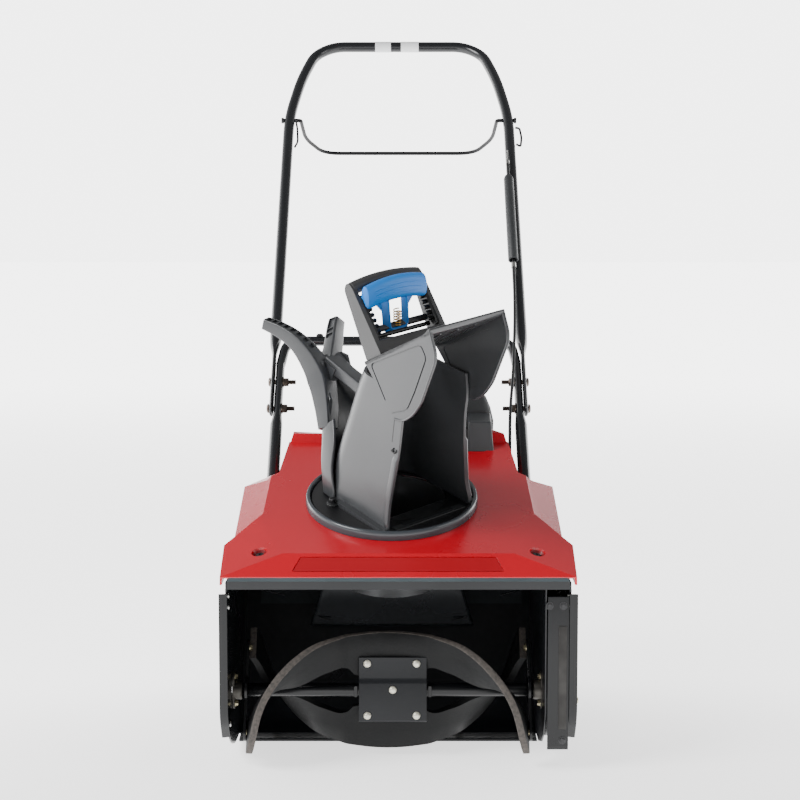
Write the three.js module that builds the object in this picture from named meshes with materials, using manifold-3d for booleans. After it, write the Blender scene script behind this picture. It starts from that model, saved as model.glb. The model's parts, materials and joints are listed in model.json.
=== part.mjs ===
// Single-stage snowblower with a recoil-start engine, millimetres, +Z up, front towards -Y.
// Builders work in machine coordinates, where y = 0 is the front lip of the hood; addPart moves
// each piece back by ORIGIN_BACK so that the origin is on the ground at the middle of the machine.
import * as THREE from "three";
import { ConvexGeometry } from "three/addons/geometries/ConvexGeometry.js";
import { mergeVertices } from "three/addons/utils/BufferGeometryUtils.js";
import Module from "manifold-3d";

const wasm = await Module();
wasm.setup();

// Driving dimensions
const ORIGIN_BACK = 536; // from the hood's lip to the origin
const GAP = 0.35; // clearance between neighbouring pieces
const SIDE_X = 238; // outer face of the side plates
const FLANGE_X = 247; // outer edge of the side plates' turned front flange
const SHEET = 2.5; // housing sheet
const MOUTH_TOP = 261; // height of the housing's top plate
const CASE_X = 205; // inner face of the belt case
const ROTOR = { x: -15, y: 71.5, z: 98, r: 92, shaft: 9.5 };
const CRANK = { y: 400, z: 259 };
const DECK = { y: 30, z: 301.5, slope: 18.1 }; // hood deck: a point on its front crease and its tilt
const CHUTE = { x: -10, y: 180.5, z: 364.9, turn: 37 }; // chute axis where it meets the collar
const COLLAR_R = 125;
const WHEEL = { x: 171, y: 445, r: 90, width: 42 };
const CHASSIS_Z = 188;
const HANDLE_SLOPE = 46.4;
const HANDLE_FOOT = { y: 638, z: 636 }; // a point on the line of the handle
const UPPER_X = 209;
const TUBE_R = 10;
const BAIL_R = 3.6;

const rad = THREE.MathUtils.degToRad;

const root = new THREE.Group();
root.name = "single_stage_snowblower";

function material(color, roughness, metalness) {
  return new THREE.MeshStandardMaterial({ color, roughness, metalness });
}

const blackSteel = material(0x17181a, 0.35, 0.4);
const redPlastic = material(0xd81228, 0.3, 0);
const blackPlastic = material(0x1b1c1e, 0.5, 0);
const rubber = material(0x2a2826, 0.85, 0);
const bluePlastic = material(0x3f8fdc, 0.5, 0);
const zinc = material(0xb9ab86, 0.35, 0.9);
const steel = material(0xb4b4b2, 0.35, 0.95);
const castMetal = material(0x8b8d8f, 0.6, 0.8);
const greyPlastic = material(0x4a4c4f, 0.5, 0);

// ---------- solids ----------

function solid(geometry) {
  const bare = new THREE.BufferGeometry();
  const source = geometry.index ? geometry.toNonIndexed() : geometry;
  bare.setAttribute("position", source.getAttribute("position"));
  const merged = mergeVertices(bare, 1e-3);
  const triVerts = new Uint32Array(merged.index.array);
  const vertProperties = merged.attributes.position.array;
  const made = new wasm.Manifold(new wasm.Mesh({ numProp: 3, vertProperties, triVerts }));
  if (made.volume() > 0) return made;
  for (let i = 0; i < triVerts.length; i += 3) {
    [triVerts[i + 1], triVerts[i + 2]] = [triVerts[i + 2], triVerts[i + 1]];
  }
  return new wasm.Manifold(new wasm.Mesh({ numProp: 3, vertProperties, triVerts }));
}

function geometryOf(body) {
  const mesh = body.getMesh();
  const positions = new Float32Array(mesh.numVert * 3);
  for (let i = 0; i < mesh.numVert; i += 1) {
    positions.set(mesh.vertProperties.subarray(i * mesh.numProp, i * mesh.numProp + 3), i * 3);
  }
  const geometry = new THREE.BufferGeometry();
  geometry.setAttribute("position", new THREE.BufferAttribute(positions, 3));
  geometry.setIndex(new THREE.BufferAttribute(new Uint32Array(mesh.triVerts), 1));
  return geometry;
}

function addPart(name, body, surface) {
  const geometry = geometryOf(body).toNonIndexed();
  geometry.translate(0, -ORIGIN_BACK, 0);
  geometry.computeVertexNormals();
  const mesh = new THREE.Mesh(geometry, surface);
  mesh.name = name;
  root.add(mesh);
}

function join(...bodies) {
  return bodies.reduce((whole, body) => whole.add(body));
}

function block(x0, x1, y0, y1, z0, z1) {
  const box = new THREE.BoxGeometry(x1 - x0, y1 - y0, z1 - z0);
  box.translate((x0 + x1) / 2, (y0 + y1) / 2, (z0 + z1) / 2);
  return solid(box);
}

// A matrix that stands the local Y axis along a direction, with its origin at a point.
function standing(point, direction) {
  const turn = new THREE.Quaternion().setFromUnitVectors(
    new THREE.Vector3(0, 1, 0),
    new THREE.Vector3(...direction).normalize(),
  );
  return new THREE.Matrix4().compose(new THREE.Vector3(...point), turn, new THREE.Vector3(1, 1, 1));
}

// A turned solid: profile points are [radius, distance along the axis].
function turned(profile, segments, point, direction) {
  const points = profile.map(([r, s]) => new THREE.Vector2(r, s));
  const lathe = new THREE.LatheGeometry(points, segments);
  return solid(lathe.applyMatrix4(standing(point, direction)));
}

function rod(point, direction, length, radius, segments = 16) {
  return turned([[0, 0], [radius, 0], [radius, length], [0, length]], segments, point, direction);
}

// A turned ring: the profile is a closed loop that stays off the axis.
function turnedRing(profile, segments, point, direction) {
  return turned([...profile, profile[0]], segments, point, direction);
}

function shapeOf(points, holes = []) {
  const shape = new THREE.Shape(points.map(([a, b]) => new THREE.Vector2(a, b)));
  for (const hole of holes) {
    shape.holes.push(new THREE.Path(hole.map(([a, b]) => new THREE.Vector2(a, b))));
  }
  return shape;
}

// A flat plate cut in the YZ plane, from x0 to x1.
function sidePlate(points, x0, x1, holes = []) {
  const plate = new THREE.ExtrudeGeometry(shapeOf(points, holes), {
    depth: x1 - x0,
    bevelEnabled: false,
  });
  const axes = new THREE.Matrix4().makeBasis(
    new THREE.Vector3(0, 1, 0),
    new THREE.Vector3(0, 0, 1),
    new THREE.Vector3(1, 0, 0),
  );
  plate.applyMatrix4(axes);
  plate.translate(x0, 0, 0);
  return solid(plate);
}

// A flat plate cut in the XY plane, from z0 to z1.
function levelPlate(points, z0, z1, holes = []) {
  const plate = new THREE.ExtrudeGeometry(shapeOf(points, holes), {
    depth: z1 - z0,
    bevelEnabled: false,
  });
  plate.translate(0, 0, z0);
  return solid(plate);
}

function hull(points) {
  return solid(new ConvexGeometry(points.map((p) => new THREE.Vector3(...p))));
}

// A top facet and the column of material under it, down to a level base.
function column(top, base) {
  return hull([...top, ...top.map(([x, y]) => [x, y, base])]);
}

function circle(cx, cy, r, count) {
  const points = [];
  for (let i = 0; i < count; i += 1) {
    const a = (2 * Math.PI * i) / count;
    points.push([cx + r * Math.cos(a), cy + r * Math.sin(a)]);
  }
  return points;
}

// Joins rings of equal length. Caps are triangulated in the plane of axes u and v.
function loft(rings, u = 0, v = 1) {
  const count = rings[0].length;
  const flat = (ring) => ring.map((p) => new THREE.Vector2(p[u], p[v]));
  const ordered = THREE.ShapeUtils.isClockWise(flat(rings[0]))
    ? rings.map((ring) => [...ring].reverse())
    : rings;
  const faces = [];
  for (let k = 0; k + 1 < ordered.length; k += 1) {
    for (let i = 0; i < count; i += 1) {
      const a = k * count + i;
      const b = k * count + ((i + 1) % count);
      faces.push([a, b, b + count], [a, b + count, a + count]);
    }
  }
  const last = (ordered.length - 1) * count;
  for (const [a, b, c] of THREE.ShapeUtils.triangulateShape(flat(ordered[0]), [])) {
    faces.push([a, c, b]);
  }
  for (const [a, b, c] of THREE.ShapeUtils.triangulateShape(flat(ordered.at(-1)), [])) {
    faces.push([last + a, last + b, last + c]);
  }
  const geometry = new THREE.BufferGeometry();
  geometry.setAttribute("position", new THREE.Float32BufferAttribute(ordered.flat(2), 3));
  geometry.setIndex(faces.flat());
  return solid(geometry);
}

// Rounds the inner corners of a polyline with arcs of straight steps.
function bend(points, radius, steps = 4) {
  const path = points.map((p) => new THREE.Vector3(...p));
  const out = [path[0]];
  for (let i = 1; i + 1 < path.length; i += 1) {
    const before = path[i - 1].clone().sub(path[i]);
    const after = path[i + 1].clone().sub(path[i]);
    const reach = Math.min(radius, before.length() * 0.48, after.length() * 0.48);
    const a = path[i].clone().addScaledVector(before.normalize(), reach);
    const b = path[i].clone().addScaledVector(after.normalize(), reach);
    const curve = new THREE.QuadraticBezierCurve3(a, path[i], b);
    out.push(...curve.getPoints(steps));
  }
  out.push(path.at(-1));
  return out;
}

// A round bar along a path of points; sizes may give [half-width, half-height] at each point.
function bar(path, radius, sides = 10, sizes = null, up = [0, 0, 1]) {
  const points = path.map((p) => (p.isVector3 ? p : new THREE.Vector3(...p)));
  const reference = new THREE.Vector3(...up).normalize();
  let normal = null;
  const rings = points.map((point, i) => {
    const before = points[Math.max(i - 1, 0)];
    const after = points[Math.min(i + 1, points.length - 1)];
    const tangent = after.clone().sub(before).normalize();
    const lean = normal ?? reference;
    normal = lean.clone().addScaledVector(tangent, -lean.dot(tangent)).normalize();
    const across = tangent.clone().cross(normal);
    const [wide, high] = sizes ? sizes[i] : [radius, radius];
    return circle(0, 0, 1, sides).map(([c, s]) =>
      point.clone().addScaledVector(across, wide * c).addScaledVector(normal, high * s).toArray(),
    );
  });
  return tubeSkin(rings);
}

// Closes a row of convex rings with fans at both ends.
function tubeSkin(rings) {
  const count = rings[0].length;
  const faces = [];
  for (let k = 0; k + 1 < rings.length; k += 1) {
    for (let i = 0; i < count; i += 1) {
      const a = k * count + i;
      const b = k * count + ((i + 1) % count);
      faces.push([a, b, b + count], [a, b + count, a + count]);
    }
  }
  const last = (rings.length - 1) * count;
  for (let i = 1; i + 1 < count; i += 1) {
    faces.push([0, i + 1, i], [last, last + i, last + i + 1]);
  }
  const geometry = new THREE.BufferGeometry();
  geometry.setAttribute("position", new THREE.Float32BufferAttribute(rings.flat(2), 3));
  geometry.setIndex(faces.flat());
  return solid(geometry);
}

// The outline around two circles in the YZ plane, as a belt runs round two pulleys.
function twoCircles(a, b, count = 12) {
  const along = Math.atan2(b.z - a.z, b.y - a.y);
  const distance = Math.hypot(b.y - a.y, b.z - a.z);
  const lean = Math.acos((a.r - b.r) / distance);
  const points = [];
  const sweep = (c, from, to) => {
    for (let i = 0; i <= count; i += 1) {
      const t = from + ((to - from) * i) / count;
      points.push([c.y + c.r * Math.cos(t), c.z + c.r * Math.sin(t)]);
    }
  };
  sweep(a, along + lean, along + 2 * Math.PI - lean);
  sweep(b, along - lean, along + lean);
  return points;
}

// ---------- housing ----------

const MOUTH_EDGE = [[2, MOUTH_TOP - 0.4], [2, 86], [9, 68], [30, 42]];
const PLATE_EDGE = [...MOUTH_EDGE, [60, 24], [100, 12], [150, 8.5], [188, 8.5], [225, 40], [262, 100],
  [292, 165], [310, 225], [313, MOUTH_TOP - 0.4]];

function flangeStrip(x0, x1) {
  const inner = MOUTH_EDGE.map(([y, z]) => [y + SHEET, z]).reverse();
  inner[0] = [MOUTH_EDGE[3][0] + 2.5, MOUTH_EDGE[3][1] + 2];
  return sidePlate([...MOUTH_EDGE, ...inner], x0, x1);
}

function sidePlates() {
  const left = join(
    sidePlate(PLATE_EDGE, -SIDE_X, -SIDE_X + SHEET, [circle(ROTOR.y, ROTOR.z, 13, 16).reverse()]),
    flangeStrip(-FLANGE_X, -SIDE_X + SHEET),
  );
  addPart("side_plate_left", left, blackSteel);
  const window = twoCircles({ ...ROTOR, r: 58 }, { y: 226, z: 176, r: 40 });
  const right = join(
    sidePlate(PLATE_EDGE, SIDE_X - SHEET, SIDE_X, [window.reverse()]),
    flangeStrip(SIDE_X - SHEET, FLANGE_X),
  );
  addPart("side_plate_right", right, blackSteel);
}

// Curved back wall behind the rotor, from the scraper up to the throat.
function backWall() {
  const inner = [[160, 9.5], [188, 30], [222, 78], [252, 130], [280, 185], [300, 225], [308, 259.6]];
  const outer = inner.map(([y, z], i) => {
    const a = inner[Math.max(i - 1, 0)];
    const b = inner[Math.min(i + 1, inner.length - 1)];
    const length = Math.hypot(b[0] - a[0], b[1] - a[1]);
    return [y + (SHEET * (b[1] - a[1])) / length, z - (SHEET * (b[0] - a[0])) / length];
  });
  outer[outer.length - 1][1] = 259.6;
  const wall = sidePlate([...inner, ...outer.reverse()], -SIDE_X + SHEET + GAP, CASE_X - GAP);
  return wall;
}

// The throat's centre where its tilted axis crosses a level plane.
function throatAt(z) {
  return CHUTE.y + (CHUTE.z - z) * Math.tan(rad(DECK.slope));
}

function rotorHousing() {
  const throat = throatAt(MOUTH_TOP - 1.5);
  const hole = circle(0, 0, 1, 28).map(([c, s]) => [CHUTE.x + 86.5 * c, throat + 91.5 * s]);
  const half = SIDE_X - SHEET - GAP;
  const plate = levelPlate(
    [[-half, 2], [half, 2], [half, 288], [203, 288], [203, 312], [-half, 312]],
    MOUTH_TOP - SHEET,
    MOUTH_TOP,
    [hole.reverse()],
  );
  const hem = block(-half, half, 2, 4.5, MOUTH_TOP - 8, MOUTH_TOP - 1);
  addPart("rotor_housing", join(plate, hem, backWall()), blackSteel);
}

function scraper() {
  const edge = [[146, 0], [158, 0], [190, 8], [189, 10.5], [159, 4], [147, 4]];
  addPart("scraper", sidePlate(edge, -SIDE_X + 3.2, CASE_X - 1), greyPlastic);
}

// Point and direction on the chute's turning axis.
const AXIS = [0, -Math.sin(rad(DECK.slope)), Math.cos(rad(DECK.slope))];

function axisPoint(height) {
  return [CHUTE.x, CHUTE.y + AXIS[1] * height, CHUTE.z + AXIS[2] * height];
}

function throatDuct() {
  const profile = [[82, -128], [85, -128], [85, -13.5], [82, -13.5]];
  addPart("throat_duct", turnedRing(profile, 28, axisPoint(0), AXIS), blackSteel);
}

function chuteCollar() {
  const profile = [
    [127, -13.1], [COLLAR_R, -1], [COLLAR_R - 1.5, 0], [COLLAR_R - 5, 0], [COLLAR_R - 6, -9],
    [88, -9], [88, -12.6], [104, -13.1],
  ];
  addPart("chute_collar", turnedRing(profile, 32, axisPoint(0), AXIS), blackPlastic);
}

function beltCase() {
  const outline = twoCircles({ ...ROTOR, r: 64 }, { ...CRANK, r: 36 });
  const inside = twoCircles({ ...ROTOR, r: 61.5 }, { ...CRANK, r: 33.5 });
  const floor = sidePlate(outline, CASE_X, CASE_X + SHEET, [
    circle(ROTOR.y, ROTOR.z, 12, 16).reverse(),
    circle(CRANK.y, CRANK.z, 13, 16).reverse(),
  ]);
  const rim = sidePlate(outline, CASE_X, SIDE_X - SHEET - GAP, [inside.reverse()]);
  addPart("belt_case", join(floor, rim), blackSteel);
}

function beltCover() {
  const outline = twoCircles({ ...ROTOR, r: 60 }, { ...CRANK, r: 38 });
  const inside = twoCircles({ ...ROTOR, r: 57.5 }, { ...CRANK, r: 35.5 });
  const face = sidePlate(outline, FLANGE_X - 2.2, FLANGE_X);
  const rim = sidePlate(outline, SIDE_X + GAP, FLANGE_X, [inside.reverse()]);
  addPart("belt_cover", join(face, rim), blackPlastic);
}

// ---------- hood ----------

// Height of the deck plane at a distance from the lip.
function deckZ(y) {
  return DECK.z + (y - DECK.y) * Math.tan(rad(DECK.slope));
}

// The hood's body as columns under its facets; inset shrinks it by a wall thickness.
function hoodBody(inset, base) {
  const facets = [];
  const cornerZ = 304 - inset;
  const lip = [245 - inset, inset, 273 - inset * 1.2];
  const crease = [161 - inset * 0.4, DECK.y + inset * 0.3, DECK.z - inset];
  const deckFront = [197 - inset, 146, deckZ(146) - inset];
  const corner = [247.3 - inset, 81, cornerZ];
  const deckBack = [195 - inset, 268 - inset, deckZ(268) - inset];
  const stepIn = [183 - inset, 276, deckZ(276) - inset];
  const rear = [174 - inset, 384, deckZ(384) - inset];
  const shoulder = [238 - inset, 300 - inset, 357 - inset];
  const ridge = [233.5 - inset, 98, 313.5 - inset];
  const mirror = ([x, y, z]) => [-x, y, z];
  facets.push([lip, mirror(lip), crease, mirror(crease)]);
  facets.push([crease, mirror(crease), deckFront, mirror(deckFront), deckBack, mirror(deckBack)]);
  const back = inset ? rear[1] - inset : rear[1];
  facets.push([
    [stepIn[0], 258, deckZ(258) - inset], [-stepIn[0], 258, deckZ(258) - inset],
    [rear[0], back, rear[2]], [-rear[0], back, rear[2]],
  ]);
  for (const side of [1, -1]) {
    const pick = ([x, y, z]) => [side * x, y, z];
    facets.push([lip, crease, deckFront, corner].map(pick));
    facets.push([deckFront, deckBack, shoulder, ridge].map(pick));
  }
  return join(...facets.map((top) => column(top, base)));
}

function hoodRiser(x0, x1) {
  const front = deckZ(380);
  return hull([
    [x0, 380, front], [x1, 380, front], [x0 + 4, 388, front + 14], [x1 - 4, 388, front + 14],
    [x0 + 4, 396, front + 14], [x1 - 4, 396, front + 14], [x0, 398, front - 10],
    [x1, 398, front - 10], [x0, 380, front - 10], [x1, 380, front - 10],
  ]);
}

function hood() {
  const shell = hoodBody(0, 262.5).subtract(hoodBody(3, 240));
  const opening = rod(axisPoint(-60), AXIS, 80, 106, 28);
  const notch = block(-118, 140, 349, 420, 250, 480);
  const floorCut = block(-182, 182, 262, 420, 250, 292);
  const body = join(
    shell.subtract(floorCut),
    hoodRiser(-173, -119),
    hoodRiser(141, 173),
  ).subtract(join(opening, notch));
  const cups = [-1, 1].map((side) => rod([side * 195, 43, 295], [side * 0.18, -0.35, 1], 30, 11, 14));
  const bosses = [-1, 1].map((side) =>
    rod([side * 194.5, 44, 291], [side * 0.18, -0.35, 1], 14, 14, 12).intersect(hoodBody(0, 262)),
  );
  addPart("hood", join(body, ...bosses).subtract(join(...cups)), redPlastic);
}

// ---------- rotor ----------

// Angle of the paddle's outer edge at a distance along the shaft from the rotor's middle.
const PADDLE_ANGLES = [[0, 84], [25, 83], [55, 80], [72, 71], [95, 60], [117, 47], [146, 27], [165, 10],
  [178, -9], [187, -35], [194, -59]];
const PADDLE_HALF = 4; // half of the rubber's thickness

// The paddle's edge is pulled in by 6 mm in the middle.
function paddleRadius(s) {
  return ROTOR.r - 6 + 6 * THREE.MathUtils.smoothstep(Math.abs(s), 30, 130);
}

function paddlePoint(s, angle, radius) {
  const out = [-Math.cos(rad(angle)), Math.sin(rad(angle))];
  return new THREE.Vector3(ROTOR.x + s, ROTOR.y + out[0] * radius, ROTOR.z + out[1] * radius);
}

// A rubber sheet that is bent to both ends, with its thickness square to its face.
function paddle(turn) {
  const half = PADDLE_ANGLES.map(([s, a]) => [s, a + turn]);
  const stations = [...half.slice(1).map(([s, a]) => [-s, a]).reverse(), ...half];
  const edge = stations.map(([s, angle]) => paddlePoint(s, angle, paddleRadius(s)));
  const rings = stations.map(([s, angle], i) => {
    const along = edge[Math.min(i + 1, edge.length - 1)].clone().sub(edge[Math.max(i - 1, 0)]);
    const out = edge[i].clone().sub(paddlePoint(s, angle, 0));
    const face = along.cross(out).normalize().multiplyScalar(PADDLE_HALF);
    const width = Math.abs(s) < 60 ? 12 + Math.abs(s) * 0.1 : Math.min(70, 40 + Math.abs(s) * 0.2);
    const inner = paddlePoint(s, angle, width);
    return [inner.clone().add(face), edge[i].clone().add(face), edge[i].clone().sub(face), inner.sub(face)]
      .map((point) => point.toArray());
  });
  return tubeSkin(rings);
}

// Steel arm at the end of the rotor that carries both paddle ends.
function rotorArm(x0, x1) {
  const a = rad(-59);
  const ends = [1, -1].map((s) => [ROTOR.y - s * 62 * Math.cos(a), ROTOR.z + s * 62 * Math.sin(a)]);
  const lower = { y: ends[0][0], z: ends[0][1], r: 12 };
  const upper = { y: ends[1][0], z: ends[1][1], r: 12 };
  const web = sidePlate(twoCircles(lower, upper, 6), x0, x1);
  const hub = rod([x0, ROTOR.y, ROTOR.z], [1, 0, 0], x1 - x0, 20, 20);
  const bore = rod([x0 - 1, ROTOR.y, ROTOR.z], [1, 0, 0], x1 - x0 + 2, ROTOR.shaft + GAP, 20);
  return join(web, hub).subtract(bore);
}

function bearing(x0, x1, flangeFirst) {
  const flange = sidePlate(
    twoCircles({ y: ROTOR.y, z: ROTOR.z - 15, r: 12 }, { y: ROTOR.y, z: ROTOR.z + 15, r: 12 }, 8),
    flangeFirst ? x0 : x1 - 3,
    flangeFirst ? x0 + 3 : x1,
  );
  const hub = rod([x0, ROTOR.y, ROTOR.z], [1, 0, 0], x1 - x0, 14, 20);
  const bore = rod([x0 - 1, ROTOR.y, ROTOR.z], [1, 0, 0], x1 - x0 + 2, ROTOR.shaft + GAP, 20);
  return join(flange, hub).subtract(bore);
}

function rotor() {
  const first = -232;
  const shaftEnd = 232;
  addPart(
    "rotor_shaft",
    rod([first, ROTOR.y, ROTOR.z], [1, 0, 0], shaftEnd - first, ROTOR.shaft, 20),
    blackSteel,
  );
  const clamp = rod([-240, ROTOR.y, ROTOR.z], [1, 0, 0], 480, ROTOR.shaft + GAP, 20);
  const frontPlate = levelFace(-56, 40, ROTOR.z - 42, ROTOR.z + 50, ROTOR.y - 17.5, ROTOR.y - 14);
  addPart("rotor_centre_plate", frontPlate, blackSteel);
  addPart("rotor_paddle_front", paddle(0).subtract(clamp), rubber);
  addPart("rotor_paddle_rear", paddle(180).subtract(clamp), rubber);
  addPart("rotor_arm_left", rotorArm(-217.6, -213.6), blackSteel);
  addPart("rotor_arm_right", rotorArm(183.6, 187.6), blackSteel);
  addPart("rotor_bearing_left", bearing(-235.1, -221, true), zinc);
  addPart("rotor_bearing_right", bearing(191, 204.6, false), zinc);
  const bolts = [[-44, 41], [25.5, 41], [-8, 4], [-44, -33], [25.5, -33]];
  bolts.forEach(([x, z], i) => {
    const head = turned(
      [[0, 0], [5.4, 0], [5.4, 2], [3.6, 4], [0, 4.6]],
      14,
      [x, ROTOR.y - 17.5 - GAP, ROTOR.z + z],
      [0, -1, 0],
    );
    addPart("rotor_bolt_" + (i + 1), head, zinc);
  });
}

// A plate facing the front, with chamfered corners.
function levelFace(x0, x1, z0, z1, y0, y1) {
  const c = 5;
  const outline = [
    [x0 + c, z0], [x1 - c, z0], [x1, z0 + c], [x1, z1 - c],
    [x1 - c, z1], [x0 + c, z1], [x0, z1 - c], [x0, z0 + c],
  ];
  return loft([outline.map(([x, z]) => [x, y0, z]), outline.map(([x, z]) => [x, y1, z])], 0, 2);
}

// ---------- drive ----------

function pulley(centre, radius, x0) {
  const profile = [
    [0, 0], [radius, 0], [radius, 1.5], [radius - 6, 4.6], [radius - 6, 9.4], [radius, 12.5],
    [radius, 14], [0, 14],
  ];
  return turned(profile, 28, [x0, centre.y, centre.z], [1, 0, 0]);
}

function drive() {
  const cut = rod([-240, ROTOR.y, ROTOR.z], [1, 0, 0], 490, ROTOR.shaft + GAP, 20);
  addPart("driven_pulley", pulley(ROTOR, 54, 213).subtract(cut), castMetal);
  const shaft = rod([108.4, CRANK.y, CRANK.z], [1, 0, 0], 121, 10, 20);
  addPart("crankshaft", join(shaft, pulley(CRANK, 27, 213)), steel);
  const outer = twoCircles({ ...ROTOR, r: 56 }, { ...CRANK, r: 29 }, 14);
  const inner = twoCircles({ ...ROTOR, r: 48.6 }, { ...CRANK, r: 21.6 }, 14);
  addPart("drive_belt", sidePlate(outer, 218, 222, [inner.reverse()]), rubber);
  const arm = sidePlate(
    twoCircles({ y: 318, z: 212, r: 9 }, { y: 262, z: 171, r: 9 }, 5),
    208.6,
    211.6,
  );
  const armBore = rod([207, 262, 171], [1, 0, 0], 6, 4.4, 12);
  addPart("idler_arm", arm.subtract(armBore), blackSteel);
  const idler = join(
    rod([212, 262, 171], [1, 0, 0], 14, 12, 20),
    rod([208.9, 262, 171], [1, 0, 0], 4, 4, 12),
  );
  addPart("idler_pulley", idler, castMetal);
}

// ---------- chassis, wheels and engine ----------

function chassis() {
  const plate = block(-188, 188, 300, 540, CHASSIS_Z - 3, CHASSIS_Z);
  const cheeks = [-1, 1].map((side) => {
    const x = side * 143;
    const top = CHASSIS_Z - 1;
    const edge = [[296, top], [330, 110], [400, 72], [470, 68], [500, 92], [520, top]];
    return sidePlate(edge, x - 1.5, x + 1.5, [circle(WHEEL.y, WHEEL.r, 8.4, 16).reverse()]);
  });
  const rearLip = block(-188, 188, 537, 540, CHASSIS_Z - 20, CHASSIS_Z);
  const brackets = [-1, 1].map((side) => {
    const top = CHASSIS_Z - 1;
    const edge = [[306, top], [470, top], [420, 300], [396, 372], [368, 372], [330, 320]];
    const bore = circle(CRANK.y, CRANK.z, 12, 16).reverse();
    return sidePlate(edge, side * 186.5 - 1.5, side * 186.5 + 1.5, side > 0 ? [bore] : []);
  });
  addPart("chassis", join(plate, ...cheeks, rearLip, ...brackets), blackSteel);
}

function wheels() {
  addPart("axle", rod([-205, WHEEL.y, WHEEL.r], [1, 0, 0], 410, 8, 16), steel);
  const hole = rod([-220, WHEEL.y, WHEEL.r], [1, 0, 0], 440, 8 + GAP, 16);
  for (const [name, side] of [["left", -1], ["right", 1]]) {
    const middle = side * WHEEL.x;
    const h = WHEEL.width / 2;
    const tyre = [[62, -h + 3], [80, -h + 1], [87, -h + 6], [WHEEL.r, -h + 14], [WHEEL.r, h - 14],
      [87, h - 6], [80, h - 1], [62, h - 3]];
    addPart("tyre_" + name, turnedRing(tyre, 28, [middle, WHEEL.y, WHEEL.r], [1, 0, 0]), rubber);
    const rim = [[0, -h + 2], [24, -h + 2], [24, -6], [56, -6], [58, -h + 5], [61.6, -h + 5],
      [61.6, h - 5], [58, h - 5], [56, 0], [24, 0], [24, h - 2], [0, h - 2]];
    const body = turned(rim, 20, [middle, WHEEL.y, WHEEL.r], [1, 0, 0]);
    addPart("wheel_rim_" + name, body.subtract(hole), greyPlastic);
  }
}

function engine() {
  const y0 = 330;
  const y1 = 470;
  const crankcase = block(-40, 108, y0, y1, CHASSIS_Z + GAP, 330);
  const fins = [];
  for (let i = 0; i < 6; i += 1) {
    fins.push(block(-20, 92, 342, 458, 331 + i * 11, 335 + i * 11));
  }
  const cylinder = block(-4, 76, 358, 442, 329, 396);
  addPart("engine_block", join(crankcase, cylinder, ...fins), castMetal);
  const starter = turned(
    [[0, 0], [70, 0], [74, 6], [74, 40], [60, 54], [26, 58], [0, 58]],
    30,
    [-40.4, CRANK.y, CRANK.z + 3.5],
    [-1, 0, 0],
  );
  addPart("recoil_housing", starter, blackPlastic);
  const tower = loft([
    [[-104, 403, 406], [152, 403, 406], [152, 540, 406], [-104, 540, 406]],
    [[-104, 403, 456], [153, 403, 456], [153, 544, 450], [-104, 544, 450]],
    [[-90, 409, 488], [141, 409, 488], [141, 544, 480], [-90, 544, 480]],
    [[-80, 420, 500], [129, 420, 500], [129, 536, 490], [-80, 536, 490]],
  ]);
  const nose = block(-100, 130, 356, 404, 402, 440);
  const shroud = join(tower, nose);
  const recess = block(-30, 30, 440, 500, 470, 510);
  const panel = block(-104, 152, 545.5, 549, 205, 440);
  const bridge = block(-100, 148, 536, 549, 408, 438);
  const cordHole = rod([-20, 540, 300], [0, 1, 0], 20, 15, 20);
  const primerHole = rod([-64, 540, 330], [0, 1, 0], 20, 14.6, 20);
  const cover = join(shroud, panel, bridge).subtract(join(recess, cordHole, primerHole));
  addPart("engine_shroud", cover, blackPlastic);
  const muffler = hull([
    [112, 394, 292], [174, 394, 292], [112, 466, 292], [174, 466, 292],
    [112, 400, 376], [174, 400, 376], [112, 460, 376], [174, 460, 376],
  ]);
  addPart("muffler", muffler, steel);
  const tank = join(
    hull([
      [-90, 474, 300], [60, 474, 300], [-90, 532, 300], [60, 532, 300],
      [-98, 474, 392], [70, 474, 392], [-98, 536, 392], [70, 536, 392],
    ]),
    rod([0, 505, 390], [0, 0, 1], 15.5, 14, 20),
  );
  addPart("fuel_tank", tank, blackPlastic);
}

function controls() {
  const cap = turned([[0, 0], [27, 0], [28, 3], [28, 16], [25, 19], [0, 19]], 24, [0, 470, 471], [0, 0, 1]);
  addPart("fuel_cap", cap, blackPlastic);
  addPart("primer_bulb", turned(
    [[0, 0], [14, 0], [13, 6], [9, 11], [0, 13]], 20, [-64, 549.4, 330], [0, 1, 0]), redPlastic);
  const knob = join(
    turned([[0, 0], [15, 0], [15, 8], [13, 10], [0, 10]], 20, [40, 549.4, 330], [0, 1, 0]),
    block(36.5, 43.5, 555, 566, 316, 344),
  );
  addPart("choke_knob", knob, blackPlastic);
  const key = join(rod([100, 549.4, 330], [0, 1, 0], 5, 9, 16), block(98.5, 101.5, 553, 572, 319, 341));
  addPart("ignition_key", key, redPlastic);
  const grip = join(
    bar([[-52, 566, 300], [-45, 570, 300], [-20, 572, 300], [5, 570, 300], [12, 566, 300]], 7.5, 10),
    rod([-20, 536, 300], [0, 1, 0], 34, 3, 10),
  );
  addPart("recoil_handle", grip, blackPlastic);
}

// ---------- handle ----------

// A point on the handle's plane: distance up the slope and offset across it.
function onHandle(x, along, across = 0) {
  const a = rad(HANDLE_SLOPE);
  return [
    x,
    HANDLE_FOOT.y + along * Math.cos(a) - across * Math.sin(a),
    HANDLE_FOOT.z + along * Math.sin(a) + across * Math.cos(a),
  ];
}

const BOLT_ALONG = [-184, -240];
const PIVOT_ALONG = 460;

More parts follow.
